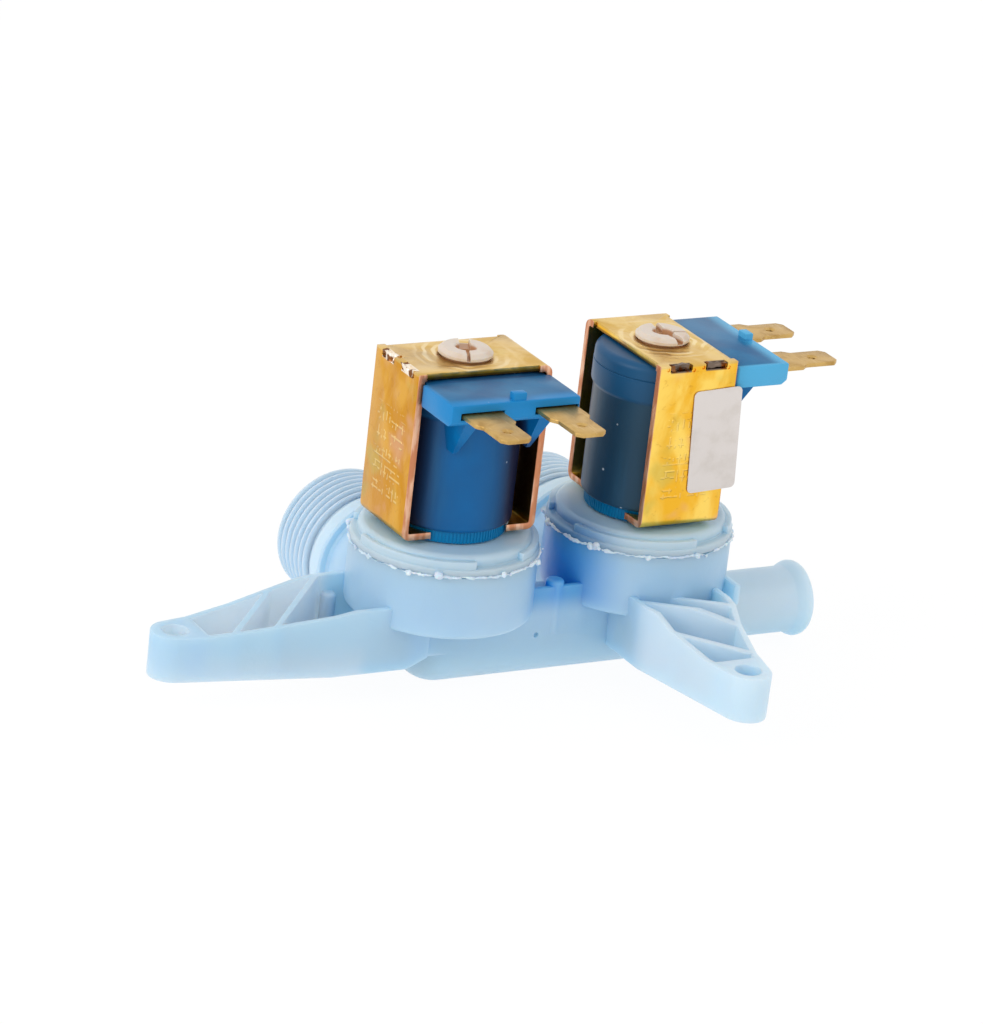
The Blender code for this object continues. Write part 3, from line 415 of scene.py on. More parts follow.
def soften(target, width):
    """Rounds the edges of a shape with flat sides."""

    def clean(shape):
        bmesh.ops.remove_doubles(shape, verts=shape.verts, dist=2e-6)
        bmesh.ops.dissolve_limit(shape, angle_limit=math.radians(0.6), verts=shape.verts, edges=shape.edges)

    bevel = change(target, clean).modifiers.new("edges", "BEVEL")
    bevel.width = width
    bevel.segments = 2
    bevel.limit_method = "ANGLE"
    bevel.angle_limit = math.radians(28)
    bevel.use_clamp_overlap = False
    return settle(target)


def rough(target, size, depth):
    """Tears a shape out of true, with lumps of that size, as peened metal is."""

    def tear(shape):
        bmesh.ops.subdivide_edges(shape, edges=shape.edges, cuts=8, use_grid_fill=True)
        for vertex in shape.verts:
            vertex.co += noise.noise_vector(vertex.co / size) * depth

    return change(target, tear)


def finish(target, name, look, slot, *replaced):
    """Names a piece, moves it home, gives it its material and lets it ride on the fixed body."""
    change(target, lambda shape: bmesh.ops.remove_doubles(shape, verts=shape.verts, dist=1e-6))
    target.data.transform(HOME)
    target.name = name
    target.data.name = name
    target.data.materials.clear()
    target.data.materials.append(look.material)
    target.data.shade_smooth()
    target.data.set_sharp_from_angle(angle=math.radians(30))
    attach(target, "valve")
    if replaced:
        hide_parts(*replaced)
    return target


def stand(x, turn=0, up=0):
    """A place on the axis of a chamber, turned about it."""
    return Matrix.Translation((x, 0, up)) @ Matrix.Rotation(math.radians(turn), 4, "Z")


def along_x(x, y, z):
    return Matrix.Translation((x, y, z)) @ Matrix.Rotation(math.radians(90), 4, "Y")


def along_y(x, y, z):
    return Matrix.Translation((x, y, z)) @ Matrix.Rotation(math.radians(-90), 4, "X")


def arc(centre, radius, start, end, steps):
    points = []
    for step in range(steps + 1):
        angle = math.radians(start + (end - start) * step / steps)
        points.append((centre[0] + radius * math.cos(angle), centre[1] + radius * math.sin(angle)))
    return points


UPRIGHT = Matrix.Rotation(math.radians(90), 4, "X")
LENGTHWAYS = Matrix(((0, 0, 1, 0), (1, 0, 0, 0), (0, 1, 0, 0), (0, 0, 0, 1)))


# ---------------------------------------------------------------- repeated shapes as node trees


class Grower(Tree):
    """A Geometry Nodes tree with named inputs."""

    def __init__(self, name, *inputs):
        group = bpy.data.node_groups.new(name, "GeometryNodeTree")
        super().__init__(group)
        self.keys = {}
        for label in inputs:
            kind = "NodeSocketMaterial" if label == "Finish" else "NodeSocketFloat"
            self.keys[label] = group.interface.new_socket(name=label, in_out="INPUT", socket_type=kind).identifier
        group.interface.new_socket(name="Shape", in_out="OUTPUT", socket_type="NodeSocketGeometry")
        start = self.tree.nodes.new("NodeGroupInput")
        self.given = {label: Socket(self, start.outputs[label]) for label in inputs}

    def circle(self, steps, radius):
        return self.node("GeometryNodeCurvePrimitiveCircle", {"mode": "RADIUS"}, {
            "Resolution": steps, "Radius": radius})

    def spiral(self, steps):
        """A curve that winds round Z, with that many steps to a turn."""
        radius = self.given["Radius"]
        return self.node("GeometryNodeCurveSpiral", sockets={
            "Resolution": steps, "Rotations": self.given["Turns"], "Start Radius": radius,
            "End Radius": radius, "Height": self.given["Height"]})

    def end(self, shape):
        solid = self.node("GeometryNodeRealizeInstances", sockets={0: shape})
        done = self.node("GeometryNodeSetMaterial", sockets={"Geometry": solid, "Material": self.given["Finish"]})
        result = self.tree.nodes.new("NodeGroupOutput")
        self.tree.links.new(done.plug, result.inputs[0])
        return self

    def grow(self, **values):
        """The mesh that the tree makes with these values."""
        mesh = bpy.data.meshes.new("grown")
        made = bpy.data.objects.new("grown", mesh)
        bpy.context.scene.collection.objects.link(made)
        modifier = made.modifiers.new("grow", "NODES")
        modifier.node_group = self.tree
        for label, value in values.items():
            modifier[self.keys[label]] = value
        return settle(made)


def winding():
    """A strand that winds round Z and thins out at both ends: a screw thread."""
    tree = Grower("winding", "Radius", "Height", "Turns", "Foot", "Crest", "Depth", "Taper", "Finish")
    given = tree.given
    spiral = tree.spiral(72)
    upright = tree.node("GeometryNodeSetCurveNormal", {"mode": "Z_UP"}, {0: spiral})
    share = tree.node("GeometryNodeSplineParameter")
    size = (share.maths("MINIMUM", 1 - share) / given["Taper"] + 0.02).maths("MINIMUM", 1.0)
    strand = tree.node("GeometryNodeSetCurveRadius", sockets={0: upright, "Radius": size})
    section = tree.node("GeometryNodeCurvePrimitiveQuadrilateral", {"mode": "TRAPEZOID"}, {
        "Height": given["Depth"], "Bottom Width": given["Foot"], "Top Width": given["Crest"], "Offset": 0.0})
    turned_section = tree.node("GeometryNodeTransform", sockets={
        0: section, "Rotation": (0, 0, math.radians(90))})
    solid = tree.node("GeometryNodeCurveToMesh", sockets={
        0: strand, "Profile Curve": turned_section, "Fill Caps": True, "Scale": size})
    return tree.end(solid)


def flash():
    """The ragged lip of a spin weld: a thin wavy bead round Z, with crumbs on it."""
    tree = Grower("flash", "Radius", "Thickness", "Wave", "Crumbs", "Crumb", "Chunk", "Seed", "Finish")
    given = tree.given
    ring = tree.circle(420, given["Radius"])
    where = tree.node("GeometryNodeInputPosition")

    def wobble(scale, extra):
        return tree.node("ShaderNodeTexNoise", {"noise_dimensions": "4D"}, {
            "Vector": where, "W": given["Seed"] + extra, "Scale": scale, "Detail": 3.0})

    out = (wobble(420.0, 0.0) - 0.45) * given["Wave"]
    lift = (wobble(300.0, 7.0) - 0.5) * given["Wave"]
    outward = tree.node("ShaderNodeVectorMath", {"operation": "NORMALIZE"}, {0: where})
    push = tree.node("ShaderNodeVectorMath", {"operation": "SCALE"}, {0: outward, "Scale": out})
    rise = tree.node("ShaderNodeCombineXYZ", sockets={2: lift})
    move = tree.node("ShaderNodeVectorMath", {"operation": "ADD"}, {0: push, 1: rise})
    bent = tree.node("GeometryNodeSetPosition", sockets={0: ring, "Offset": move})
    fat = wobble(330.0, 3.0)
    turn = given["Chunk"]
    facing = tree.node("ShaderNodeCombineXYZ", sockets={0: turn.maths("COSINE"), 1: turn.maths("SINE")})
    beside = tree.node("ShaderNodeVectorMath", {"operation": "DOT_PRODUCT"}, {0: outward, 1: facing}, 1) - 0.975
    ragged = ((fat - 0.38) * 4.2 | 0.12) + (beside | 0.0) * 60.0 * fat
    section = tree.circle(7, given["Thickness"])
    bead = tree.node("GeometryNodeCurveToMesh", sockets={0: bent, "Profile Curve": section, "Scale": ragged})
    points = tree.node("GeometryNodeCurveToPoints", {"mode": "COUNT"}, {0: bent, "Count": given["Crumbs"]})
    pick = tree.node("FunctionNodeRandomValue", {"data_type": "FLOAT"}, {2: 0.0, 3: 1.0, "Seed": given["Seed"]}, 1)
    crumb = tree.node("GeometryNodeMeshIcoSphere", sockets={"Radius": given["Crumb"], "Subdivisions": 2})
    scatter = tree.node("FunctionNodeRandomValue", {"data_type": "FLOAT_VECTOR"}, {
        0: (-0.0006, -0.0006, -0.0004), 1: (0.0006, 0.0006, 0.0004), "Seed": given["Seed"] + 5.0})
    points = tree.node("GeometryNodeSetPosition", sockets={0: points, "Offset": scatter})
    crumbs = tree.node("GeometryNodeInstanceOnPoints", sockets={0: points, "Instance": crumb, "Scale": pick ** 6.0})
    both = tree.node("GeometryNodeJoinGeometry", sockets={0: bead})
    tree.tree.links.new(crumbs.plug, both.plug.node.inputs[0])
    solid = tree.node("GeometryNodeRealizeInstances", sockets={0: both})
    pull = tree.node("ShaderNodeTexNoise", sockets={"Vector": where, "Scale": 1500.0, "Detail": 2.0}, output=1)
    centred = tree.node("ShaderNodeVectorMath", {"operation": "SUBTRACT"}, {0: pull, 1: (0.5, 0.5, 0.5)})
    torn = tree.node("ShaderNodeVectorMath", {"operation": "SCALE"}, {0: centred, "Scale": given["Wave"] * 0.9})
    return tree.end(tree.node("GeometryNodeSetPosition", sockets={0: solid, "Offset": torn}))


def helix():
    """Round wire wound round Z."""
    tree = Grower("helix", "Radius", "Height", "Turns", "Wire", "Finish")
    given = tree.given
    spiral = tree.spiral(40)
    return tree.end(tree.node("GeometryNodeCurveToMesh", sockets={
        0: spiral, "Profile Curve": tree.circle(12, given["Wire"]), "Fill Caps": True}))


def ring_of():
    """Small blocks set round Z: the flutes of a coil's foot."""
    tree = Grower("ring_of", "Radius", "Count", "Width", "Depth", "Height", "Finish")
    given = tree.given
    circle = tree.node("GeometryNodeMeshCircle", sockets={"Vertices": given["Count"], "Radius": given["Radius"]})
    index = tree.node("GeometryNodeInputIndex")
    angle = index * (2 * math.pi) / given["Count"]
    rotation = tree.node("ShaderNodeCombineXYZ", sockets={2: angle})
    size = tree.node("ShaderNodeCombineXYZ", sockets={0: given["Depth"], 1: given["Width"], 2: given["Height"]})
    bar = tree.node("GeometryNodeMeshCube", sockets={"Size": size})
    bars = tree.node("GeometryNodeInstanceOnPoints", sockets={0: circle, "Instance": bar, "Rotation": rotation})
    return tree.end(bars)


# ---------------------------------------------------------------- finishes


def moulding_finish(name, open_colour, painted_light_colour, between_shade_colour, haze=0.0):
    """Translucent polypropylene: painted light pales its ends, bottom and hollows; painted shade is deep blue between
    the chambers.
    """
    made = Finish(name, open_colour, 0.36, Subsurface_Weight=0.55, Subsurface_Radius=(0.6, 0.8, 1.0),
                  Subsurface_Scale=0.008, IOR=1.49)
    across, along, up = made.axes()
    shade = made.node("ShaderNodeAmbientOcclusion", {"samples": 2}, {"Distance": 0.014}, 1)
    cloud = made.noise(0.012, 3.0)
    streak = made.noise(0.0035, 2.0, (0.25, 0.25, 1.0))
    hollow = made.step(shade + (cloud - 0.5) * 0.16 + (streak - 0.5) * 0.05, 0.85, 0.2)
    # Painted shade between the chambers: in the upper gap there the colour turns deep blue, deeper still in the
    # hollows.
    between = made.step(abs(across - (SPACING / 2 - MIDDLE_X)), 0.0115, 0.004) * made.step(up, 0.0135, 0.0185)
    side_arm = made.step(across, -0.0285, -0.032)
    arms = side_arm | made.step(along, -0.0145, -0.018)
    # Painted light: the inlets, the front arm, the outlet end and the bottom are painted paler.
    ends = made.step(along, 0.019, 0.027) | made.step(along, -0.0135, -0.02) | made.step(across, 0.044, 0.05)
    ends = ends | made.step(up, 0.0075, 0.001) * 0.8
    body_colour = made.blend(ends, open_colour, painted_light_colour)
    # Painted light in the hollows: where ambient occlusion finds shade, the colour is painted a lighter, bluer tone,
    # near white in the side arm's pockets.
    pocket = made.blend(side_arm, paint(192, 222, 246), paint(234, 243, 251))
    colour = made.blend(hollow * (1 - between), body_colour, made.blend(arms, paint(172, 215, 247), pocket))
    colour = made.blend(between * (0.6 + hollow * 0.4), colour, between_shade_colour)
    milky = made.step(made.noise(0.02, 4.0, shift=0.3), 0.45, 0.75) * (0.16 + haze)
    colour = made.blend(milky * (1 - between), colour, paint(206, 222, 234))
    scuffs = made.step(made.noise(0.0011, 5.0, (1, 1, 0.3), 1.5), 0.58, 0.72)
    grain = made.relief(made.noise(0.0006, 3.0), 0.00002)
    return made.look(colour, 0.33 + scuffs * 0.2 + (cloud - 0.5) * 0.12,
                     made.relief(made.noise(0.009, 2.0), 0.00035, grain))


def steel_finish(name, x, turn, panel_colour, pale_colour, painted_stake_colour, stamped_share):
    """Yellow zinc on steel strip: uneven gold, copper cut edges, head swirls, stamped strokes, painted light and
    shade.
    """
    made = Finish(name, panel_colour, 0.3, Metallic=1.0)
    made.centre(x, turn)
    across, along, up = made.axes()
    side = abs(along)
    radius = made.radius(across, along)
    mottle = made.noise(0.006, 4.0, (1, 1, 0.5), 0.6)
    fine_mottle = made.noise(0.0012, 4.0, distortion=0.8)
    rainbow = made.noise(0.009, 2.0, shift=0.7)
    colour = made.blend(made.step(mottle, 0.38, 0.66), panel_colour, pale_colour)
    for pattern, low, high, share, tint in ((rainbow, 0.56, 0.72, 0.55, paint(226, 172, 142)),
                                            (1 - rainbow, 0.58, 0.72, 0.45, paint(196, 186, 96)),
                                            (fine_mottle, 0.6, 0.78, 0.3, paint(170, 110, 40))):
        colour = made.blend(made.step(pattern, low, high) * share, colour, tint)
    top = made.step(up, YOKE_TOP - 0.0006, YOKE_TOP - 0.0002)
    swirl = ((radius + (made.noise(0.005, 1.0) - 0.5) * 0.0022) * 3400.0).maths("SINE")
    rings = made.step(radius, 0.0118, 0.007) * made.step(made.noise(0.006, 1.0, shift=3.0), 0.36, 0.62) * top
    # Painted light: the top plate is painted paler than the sides, and the swirl rings round the head paler still, as
    # painted reflection on swirl marks that also get a bump.
    lit_top_colour = made.blend(made.step(mottle, 0.36, 0.68), paint(214, 176, 92), paint(232, 202, 136))
    lit_top_colour = made.blend(made.step(swirl, -0.2, 0.9) * rings, lit_top_colour, paint(246, 226, 178))
    colour = made.blend(top * 0.85, colour, lit_top_colour)
    # Painted shade: the inner faces of the loop are painted dark brown.
    inner_shade = made.step(abs(across), 0.0136, 0.0129) * made.step(up, YOKE_TOP - 0.0006, YOKE_TOP - 0.001)
    inner_shade = inner_shade * made.step(up, YOKE_BASE + 0.0016, YOKE_BASE + 0.003)
    colour = made.blend(inner_shade * 0.7, colour, paint(96, 58, 30))
    # The cut edges are painted copper, partly their own tint and partly a painted highlight along them.
    edge = made.step(side, YOKE_WIDTH / 2 - 0.00022, YOKE_WIDTH / 2 - 0.00008)
    tear = made.step(made.noise(0.0014, 4.0, (1, 1, 0.2)), 0.42, 0.62)
    colour = made.blend(edge, colour, made.blend(tear, paint(206, 138, 100), paint(236, 190, 158)))
    staked = made.step(abs(side - TAB_OFFSET), 0.0024, 0.0021) * made.step(across, -0.0126, -0.0129)
    staked = staked * made.step(up, YOKE_TOP - 0.0016, YOKE_TOP - 0.0013)
    stamped = made.strokes(along, up) * made.step(across, -0.0136, -0.0139) * made.step(side, 0.0056, 0.005)
    stamped = stamped * made.step(up, 0.0372, 0.038) * made.step(up, 0.0555, 0.0547)
    colour = made.blend(stamped * stamped_share, colour, paint(252, 222, 150))
    # Staked tabs: on a the given colour is a painted highlight on the raised burrs, partly the bared metal; on b's
    # sunk tabs it is painted shade. The dark brown torn patches are painted shade in their hollows.
    torn = made.step(made.noise(0.0022, 2.0, shift=1.0), 0.44, 0.52)
    colour = made.blend(staked, colour, made.blend(torn, paint(132, 84, 46), painted_stake_colour))
    bump = made.relief(stamped, 0.00008, made.relief(fine_mottle, 0.00005))
    bump = made.relief(swirl * rings, 0.00004, bump)
    return made.look(colour, 0.2 + mottle * 0.14 + edge * 0.18 + made.noise(0.0003, 2.0, (0.05, 1, 1)) * 0.1,
                     made.relief(mottle, 0.0004, bump))


def cover_finish(name, x, turn, lit_facing, lit_middle_colour, shaded_side_colour, lit_face_colour):
    """Blue moulding: painted shade darkens it over the winding round a painted lit band; bright and thin in the
    terminal block.
    """
    made = Finish(name, lit_middle_colour, 0.27, IOR=1.5, Specular_IOR_Level=0.2)
    made.centre(x, turn)
    across, along, up = made.axes()
    streak = made.noise(0.004, 3.0, (1, 1, 0.12))
    cloud = made.noise(0.009, 3.0)
    # Painted light and shade: where the cover faces the given way it is painted the lighter middle colour, and darker
    # towards its sides.
    facing = made.step(across * lit_facing[0] + along * lit_facing[1], 0.0066, 0.0116)
    colour = made.blend(facing * (0.7 + cloud * 0.5), shaded_side_colour, lit_middle_colour)
    colour = made.blend(made.step(streak, 0.5, 0.75) * 0.22, colour, paint(48, 112, 150))
    collar = COIL_TOP - COLLAR_HEIGHT
    colour = made.blend(made.step(up, collar - 0.0004, collar + 0.0006) * 0.6, colour, paint(22, 88, 136))
    away = along * -1
    far = made.step(away, 0.0118, 0.0135) * made.step(up, COIL_TOP - 0.0112, COIL_TOP - 0.009)
    far = far | made.step(away, 0.0086, 0.0098) * made.step(up, COIL_TOP - 0.0046, COIL_TOP - 0.004)
    thin = made.blend(made.step(cloud, 0.35, 0.7), paint(16, 94, 144), paint(36, 116, 164))
    # Painted light: the block's front face, its outer end and its top are painted a lighter blue.
    outer = made.step(along, -0.0168, -0.0198) | made.step(across, -0.0122, -0.0131)
    thin = made.blend(outer | made.step(up, COIL_TOP + 0.0001, COIL_TOP + 0.0004), thin, lit_face_colour)
    low = COIL_TOP - BLOCK_THICKNESS
    thin = made.blend(made.step(up, low, low - 0.0005), thin, paint(0, 112, 176))
    colour = made.blend(far, colour, thin)
    foot = 1 - made.step(up, COIL_SHOULDER - 0.0002, COIL_SHOULDER + 0.0003)
    colour = made.blend(foot, colour, paint(0, 122, 176))
    specks = made.node("ShaderNodeTexVoronoi", {"feature": "F1"}, {"Vector": made.place, "Scale": 240.0})
    dust = made.step(specks, 0.075, 0.03)
    colour = made.blend(dust * 0.8, colour, paint(196, 210, 224))
    grain = made.relief(made.noise(0.0007, 3.0), 0.000015)
    return made.look(colour, 0.26 + cloud * 0.16 + dust * 0.3,
                     made.relief(made.noise(0.008, 1.0, (1, 1, 0.4)), 0.00025, grain))


def plain_finish(name, colour, second, roughness, grain_size, grain_depth, **settings):
    """A finish with two mixed tones, a grain and an uneven gloss."""
    made = Finish(name, colour, roughness, **settings)
    cloud = made.noise(grain_size * 6, 4.0, distortion=0.4)
    return made.look(made.blend(made.step(cloud, 0.35, 0.7), colour, second), roughness - 0.06 + cloud * 0.14,
                     made.relief(made.noise(grain_size, 3.0), grain_depth))


def brass_finish():
    """Dull brass strip with rolling scratches and dark patches."""
    made = Finish("brass", paint(186, 150, 88), 0.34, Metallic=1.0)
    patch = made.noise(0.0045, 4.0, distortion=0.7)
    scratch = made.noise(0.0006, 4.0, (1, 0.12, 1))
    colour = made.blend(made.step(patch, 0.42, 0.75), paint(208, 172, 106), paint(178, 140, 78))
    colour = made.blend(made.step(scratch, 0.55, 0.72) * 0.5, colour, paint(226, 196, 140))
    return made.look(colour, 0.3 + patch * 0.2, made.relief(scratch, 0.00003, made.relief(patch, 0.0001)))


def nylon_finish(name, x):
    """Natural nylon, painted tan as shade in the well and slots of a head and on the tube below it."""
    made = Finish(name, paint(220, 206, 192), 0.4, Subsurface_Weight=0.3, Subsurface_Scale=0.002,
                  Subsurface_Radius=(1.0, 0.7, 0.4))
    made.centre(x, 0)
    across, along, up = made.axes()
    cloud = made.noise(0.004, 3.0)
    colour = made.blend(made.step(cloud, 0.45, 0.75) * 0.6, paint(220, 206, 192), paint(206, 178, 150))
    radius = made.radius(across, along)
    # Painted shade: the well, the slots and the tube under the head are painted tan.
    well = made.step(radius, 0.0023, 0.0019) * made.step(up, HEAD_TOP - 0.0001, HEAD_TOP - 0.0006)
    slot = made.step(radius, HEAD_RADIUS - 0.0001, HEAD_RADIUS - 0.0004)
    slot = slot * made.step(up, HEAD_TOP - 0.0005, HEAD_TOP - 0.0009)
    return made.look(made.blend((well | slot) * 0.9, colour, paint(190, 138, 92)), 0.34 + cloud * 0.14,
                     made.relief(made.noise(0.0009, 3.0), 0.00003))


def sticker_finish():
    """White coated paper with faint grime and a soft edge."""
    made = Finish("blank_sticker", paint(224, 216, 211), 0.42)
    grime = made.noise(0.0035, 5.0)
    colour = made.blend(made.step(grime, 0.45, 0.75) * 0.5, paint(224, 216, 211), paint(204, 195, 186))
    return made.look(colour, 0.36 + grime * 0.16, made.relief(made.noise(0.0004, 3.0), 0.00001))


# ---------------------------------------------------------------- moulded body


def manifold():
    dome = arc((0, 0), MANIFOLD_RADIUS, 180, 90, 18)
    profile = [(y, x) for x, y in dome]
    profile[0] = (0, -MANIFOLD_RADIUS)
    profile += [(y, x) for x, y in arc((SHOULDER - 0.0012, MANIFOLD_RADIUS - 0.0012), 0.0012, 90, 0, 5)]
    profile += [(OUTLET_RADIUS + 0.0004, SHOULDER), (OUTLET_RADIUS, SHOULDER + 0.0004)]
    start = OUTLET_END - BEAD_LENGTH
    profile += [(OUTLET_RADIUS, start), (OUTLET_RADIUS + 0.0002, start + 0.0005)]
    profile += [(BEAD_RADIUS - 0.0002, start + 0.0015), (BEAD_RADIUS, start + 0.0021)]
    profile += [(BEAD_RADIUS - 0.0001, OUTLET_END - 0.0007), (BEAD_RADIUS - 0.0004, OUTLET_END - 0.0002)]
    profile += [(BEAD_RADIUS - 0.0008, OUTLET_END), (0, OUTLET_END)]
    return turned(profile, MEDIUM, along_x(0, 0, MANIFOLD_RADIUS), 0)


def cup(x):
    profile = [(0, CHAMBER_BASE), *arc((CHAMBER_RADIUS - 0.0009, CHAMBER_BASE + 0.0009), 0.0009, -90, 0, 5),
               (CHAMBER_RADIUS, WELD_HEIGHT - GAP), (0, WELD_HEIGHT - GAP)]
    return turned(profile, FINE, stand(x))


def inlet(x):
    start = INLET_REACH - BARREL_LENGTH
    root = THREAD_RADIUS - THREAD_DEPTH
    undercut = INLET_REACH - THREAD_LENGTH
    low = undercut - 0.5 * THREAD_PITCH
    profile = [(0, -0.001), (NECK_RADIUS, -0.001), (NECK_RADIUS, start - 0.0005), (NECK_RADIUS + 0.0005, start)]
    profile += [(THREAD_RADIUS - 0.0004, start), (THREAD_RADIUS, start + 0.0004), (THREAD_RADIUS, low - 0.0003)]
    profile += [(THREAD_RADIUS - 0.0003, low), (root, low + 0.0003), (root, INLET_REACH - 0.0009)]
    profile += [(root - 0.0002, INLET_REACH - 0.0003), (root - 0.0005, INLET_REACH), (0, INLET_REACH)]
    return turned(profile, MEDIUM, along_y(x, 0, INLET_HEIGHT), 0.25)


def water(x):
    """All that is hollow round one chamber."""
    floor = CHAMBER_BASE + CHAMBER_FLOOR
    above = WELD_HEIGHT + CHAMBER_FLOOR
    profile = [(0, SEAT_HEIGHT), (SEAT_RADIUS, SEAT_HEIGHT), (SEAT_RADIUS, floor), (CUP_RADIUS, floor),
               (CUP_RADIUS, LEDGE_HEIGHT), (INNER_RADIUS, LEDGE_HEIGHT), (INNER_RADIUS, above), (0, above)]
    hollow = turned(profile, FINE, stand(x))
    join(hollow, rod(SEAT_BORE, MANIFOLD_RADIUS, above, COARSE, stand(x), 0.2))
    way = [(0, PASSAGE_END), (PASSAGE_RADIUS, PASSAGE_END), (PASSAGE_RADIUS, INLET_SHELF), (INLET_BORE, INLET_SHELF),
           (INLET_BORE, INLET_REACH - 0.0005), (INLET_BORE + 0.0005, INLET_REACH + 0.0001), (0, INLET_REACH + 0.0001)]
    return join(hollow, turned(way, MEDIUM, along_y(x, 0, INLET_HEIGHT), 0.3))


def arm(x, turn, length, start, taper, fall, ribs, chamfer):
    """One mounting arm: an open-topped box with slanting ribs that tapers to a screw boss."""
    above = ARM_TOP + 0.01
    dx = taper - length
    touch = math.degrees(math.atan2(ARM_HALF_WIDTH, dx) - math.acos(BOSS_RADIUS / math.hypot(dx, ARM_HALF_WIDTH)))
    outline = [(start, -ARM_HALF_WIDTH), (taper, -ARM_HALF_WIDTH), *arc((length, 0), BOSS_RADIUS, -touch, touch, 28),
               (taper, ARM_HALF_WIDTH), (start, ARM_HALF_WIDTH)]
    body = prism(outline, ARM_BASE, above)
    for vertex in body.data.vertices:
        if vertex.co.z < above - 0.001:
            vertex.co.y *= 1 - ARM_DRAFT / ARM_HALF_WIDTH
    change(body, lambda shape: bmesh.ops.triangulate(shape, faces=shape.faces))
    line = [(start - 0.002, ARM_TOP)] + [(distance, ARM_TOP - drop) for distance, drop in fall]
    line += [(length + 0.01, BOSS_TOP), (length + 0.01, above + 0.001), (start - 0.002, above + 0.001)]
    cut(body, prism(line, -0.02, 0.02, UPRIGHT))
    if chamfer:
        wedge = [(start - 0.001, 0), (start + chamfer, ARM_BASE), (start - 0.001, ARM_BASE + 0.6 * chamfer)]
        cut(body, prism(wedge, -0.02, 0.02, UPRIGHT))
    half = ARM_HALF_WIDTH - ARM_WALL
    inner = start + 0.004
    end = length - BOSS_RADIUS - 0.0002
    narrow = half + (BOSS_RADIUS - ARM_WALL - half) * (end - taper) / (length - taper)
    pocket = [(inner, -half), (taper, -half), (end, -narrow), (end, narrow), (taper, half), (inner, half)]
    hollow = prism(pocket, ARM_BASE + ARM_FLOOR, above)
    for near, far in ribs:
        run = Vector((far - near, 2 * ARM_HALF_WIDTH))
        across = Vector((run.y, -run.x)).normalized() * RIB_THICKNESS / 2
        first, last = Vector((near, -ARM_HALF_WIDTH)), Vector((far, ARM_HALF_WIDTH))
        band = [first - across, first + across, last + across, last - across]
        cut(hollow, prism([tuple(point) for point in band], ARM_BASE, above + 0.001))
    cut(body, hollow)
    cut(body, rod(SCREW_HOLE_RADIUS, 0, above, COARSE, stand(length)))
    soften(body, 0.00028)
    body.data.transform(stand(x, turn))
    return body


def valve_body(moulding, thread):
    """The one-piece moulding, with its water ways and threads."""
    body = manifold()
    bore = [(0, -SEAT_BORE), (MANIFOLD_BORE - 0.001, -SEAT_BORE), (MANIFOLD_BORE, 0.001 - SEAT_BORE),
            (MANIFOLD_BORE, SHOULDER - 0.003), (OUTLET_BORE, SHOULDER), (OUTLET_BORE, OUTLET_END - 0.0004),
            (OUTLET_BORE + 0.0004, OUTLET_END + 0.0001), (0, OUTLET_END + 0.0001)]
    hollow = turned(bore, MEDIUM, along_x(0, 0, MANIFOLD_RADIUS), 0.4)
    for x in (0, SPACING):
        join(body, cup(x), inlet(x))
        join(hollow, water(x))
    fin = [(-0.0041, 0.0082), (-0.0155, BOSS_TOP), (-0.0155, ARM_TOP), (-0.0041, ARM_TOP)]
    join(body, soften(prism(fin, -0.0007, 0.0007, stand(SPACING + 0.0141) @ LENGTHWAYS), 0.0003))
    join(body, soften(block((0.0152, -MANIFOLD_RADIUS, CHAMBER_BASE), (0.027, -0.007, WEB_TOP)), 0.0003))
    join(body, block((-0.0062, -MANIFOLD_RADIUS, MANIFOLD_RADIUS), (SPACING, 0, CHAMBER_BASE + 0.0003)))
    for x, y, radius, low, high in ((-0.0193, 0.0072, 0.0015, 0.0067, 0.0163),
                                    (SPACING / 2, -0.0066, 0.0018, 0.01, 0.0206)):
        pin = [(0, low), (radius, low), *arc((radius - 0.0007, high - 0.0007), 0.0007, 0, 90, 5), (0, high)]
        join(body, turned(pin, COARSE, Matrix.Translation((x, y, 0))))
    join(body, arm(0, 180, 0.0543, 0.0061, 0.026, ((0.022, 0), (0.041, 0.003), (0.05, 0.004)),
                   ((0.0203, 0.0403), (0.0295, 0.0495)), 0.0042))
    join(body, arm(SPACING, -90, 0.0434, 0.0064, 0.02, ((0.0233, 0), (0.0274, 0.002), (0.037, 0.004)),
                   ((0.0118, 0.0246), (0.0168, 0.0296), (0.0262, 0.0401)), 0))
    cut(body, hollow)
    dimple = [(0, -0.0005), (0.0005, -0.0004), (0.0006, 0.0008), (0, 0.0008)]
    cut(body, turned(dimple, COARSE, Matrix.Translation((0.0174, -0.00795, 0.0101)) @ UPRIGHT))
    for x in (0, SPACING):
        ridge = thread.grow(
            Radius=THREAD_RADIUS - THREAD_DEPTH / 2 - 0.00004, Height=THREAD_LENGTH - 0.0022,
            Turns=(THREAD_LENGTH - 0.002) / THREAD_PITCH, Foot=THREAD_PITCH * 0.82, Crest=THREAD_PITCH * 0.2,
            Depth=THREAD_DEPTH, Taper=0.06, Finish=moulding.material)
        ridge.data.transform(along_y(x, INLET_REACH - THREAD_LENGTH + 0.001, INLET_HEIGHT))
        gather(body, ridge)
    return finish(body, "moulded_body", moulding, "pale_blue_plastic", "valve_body")


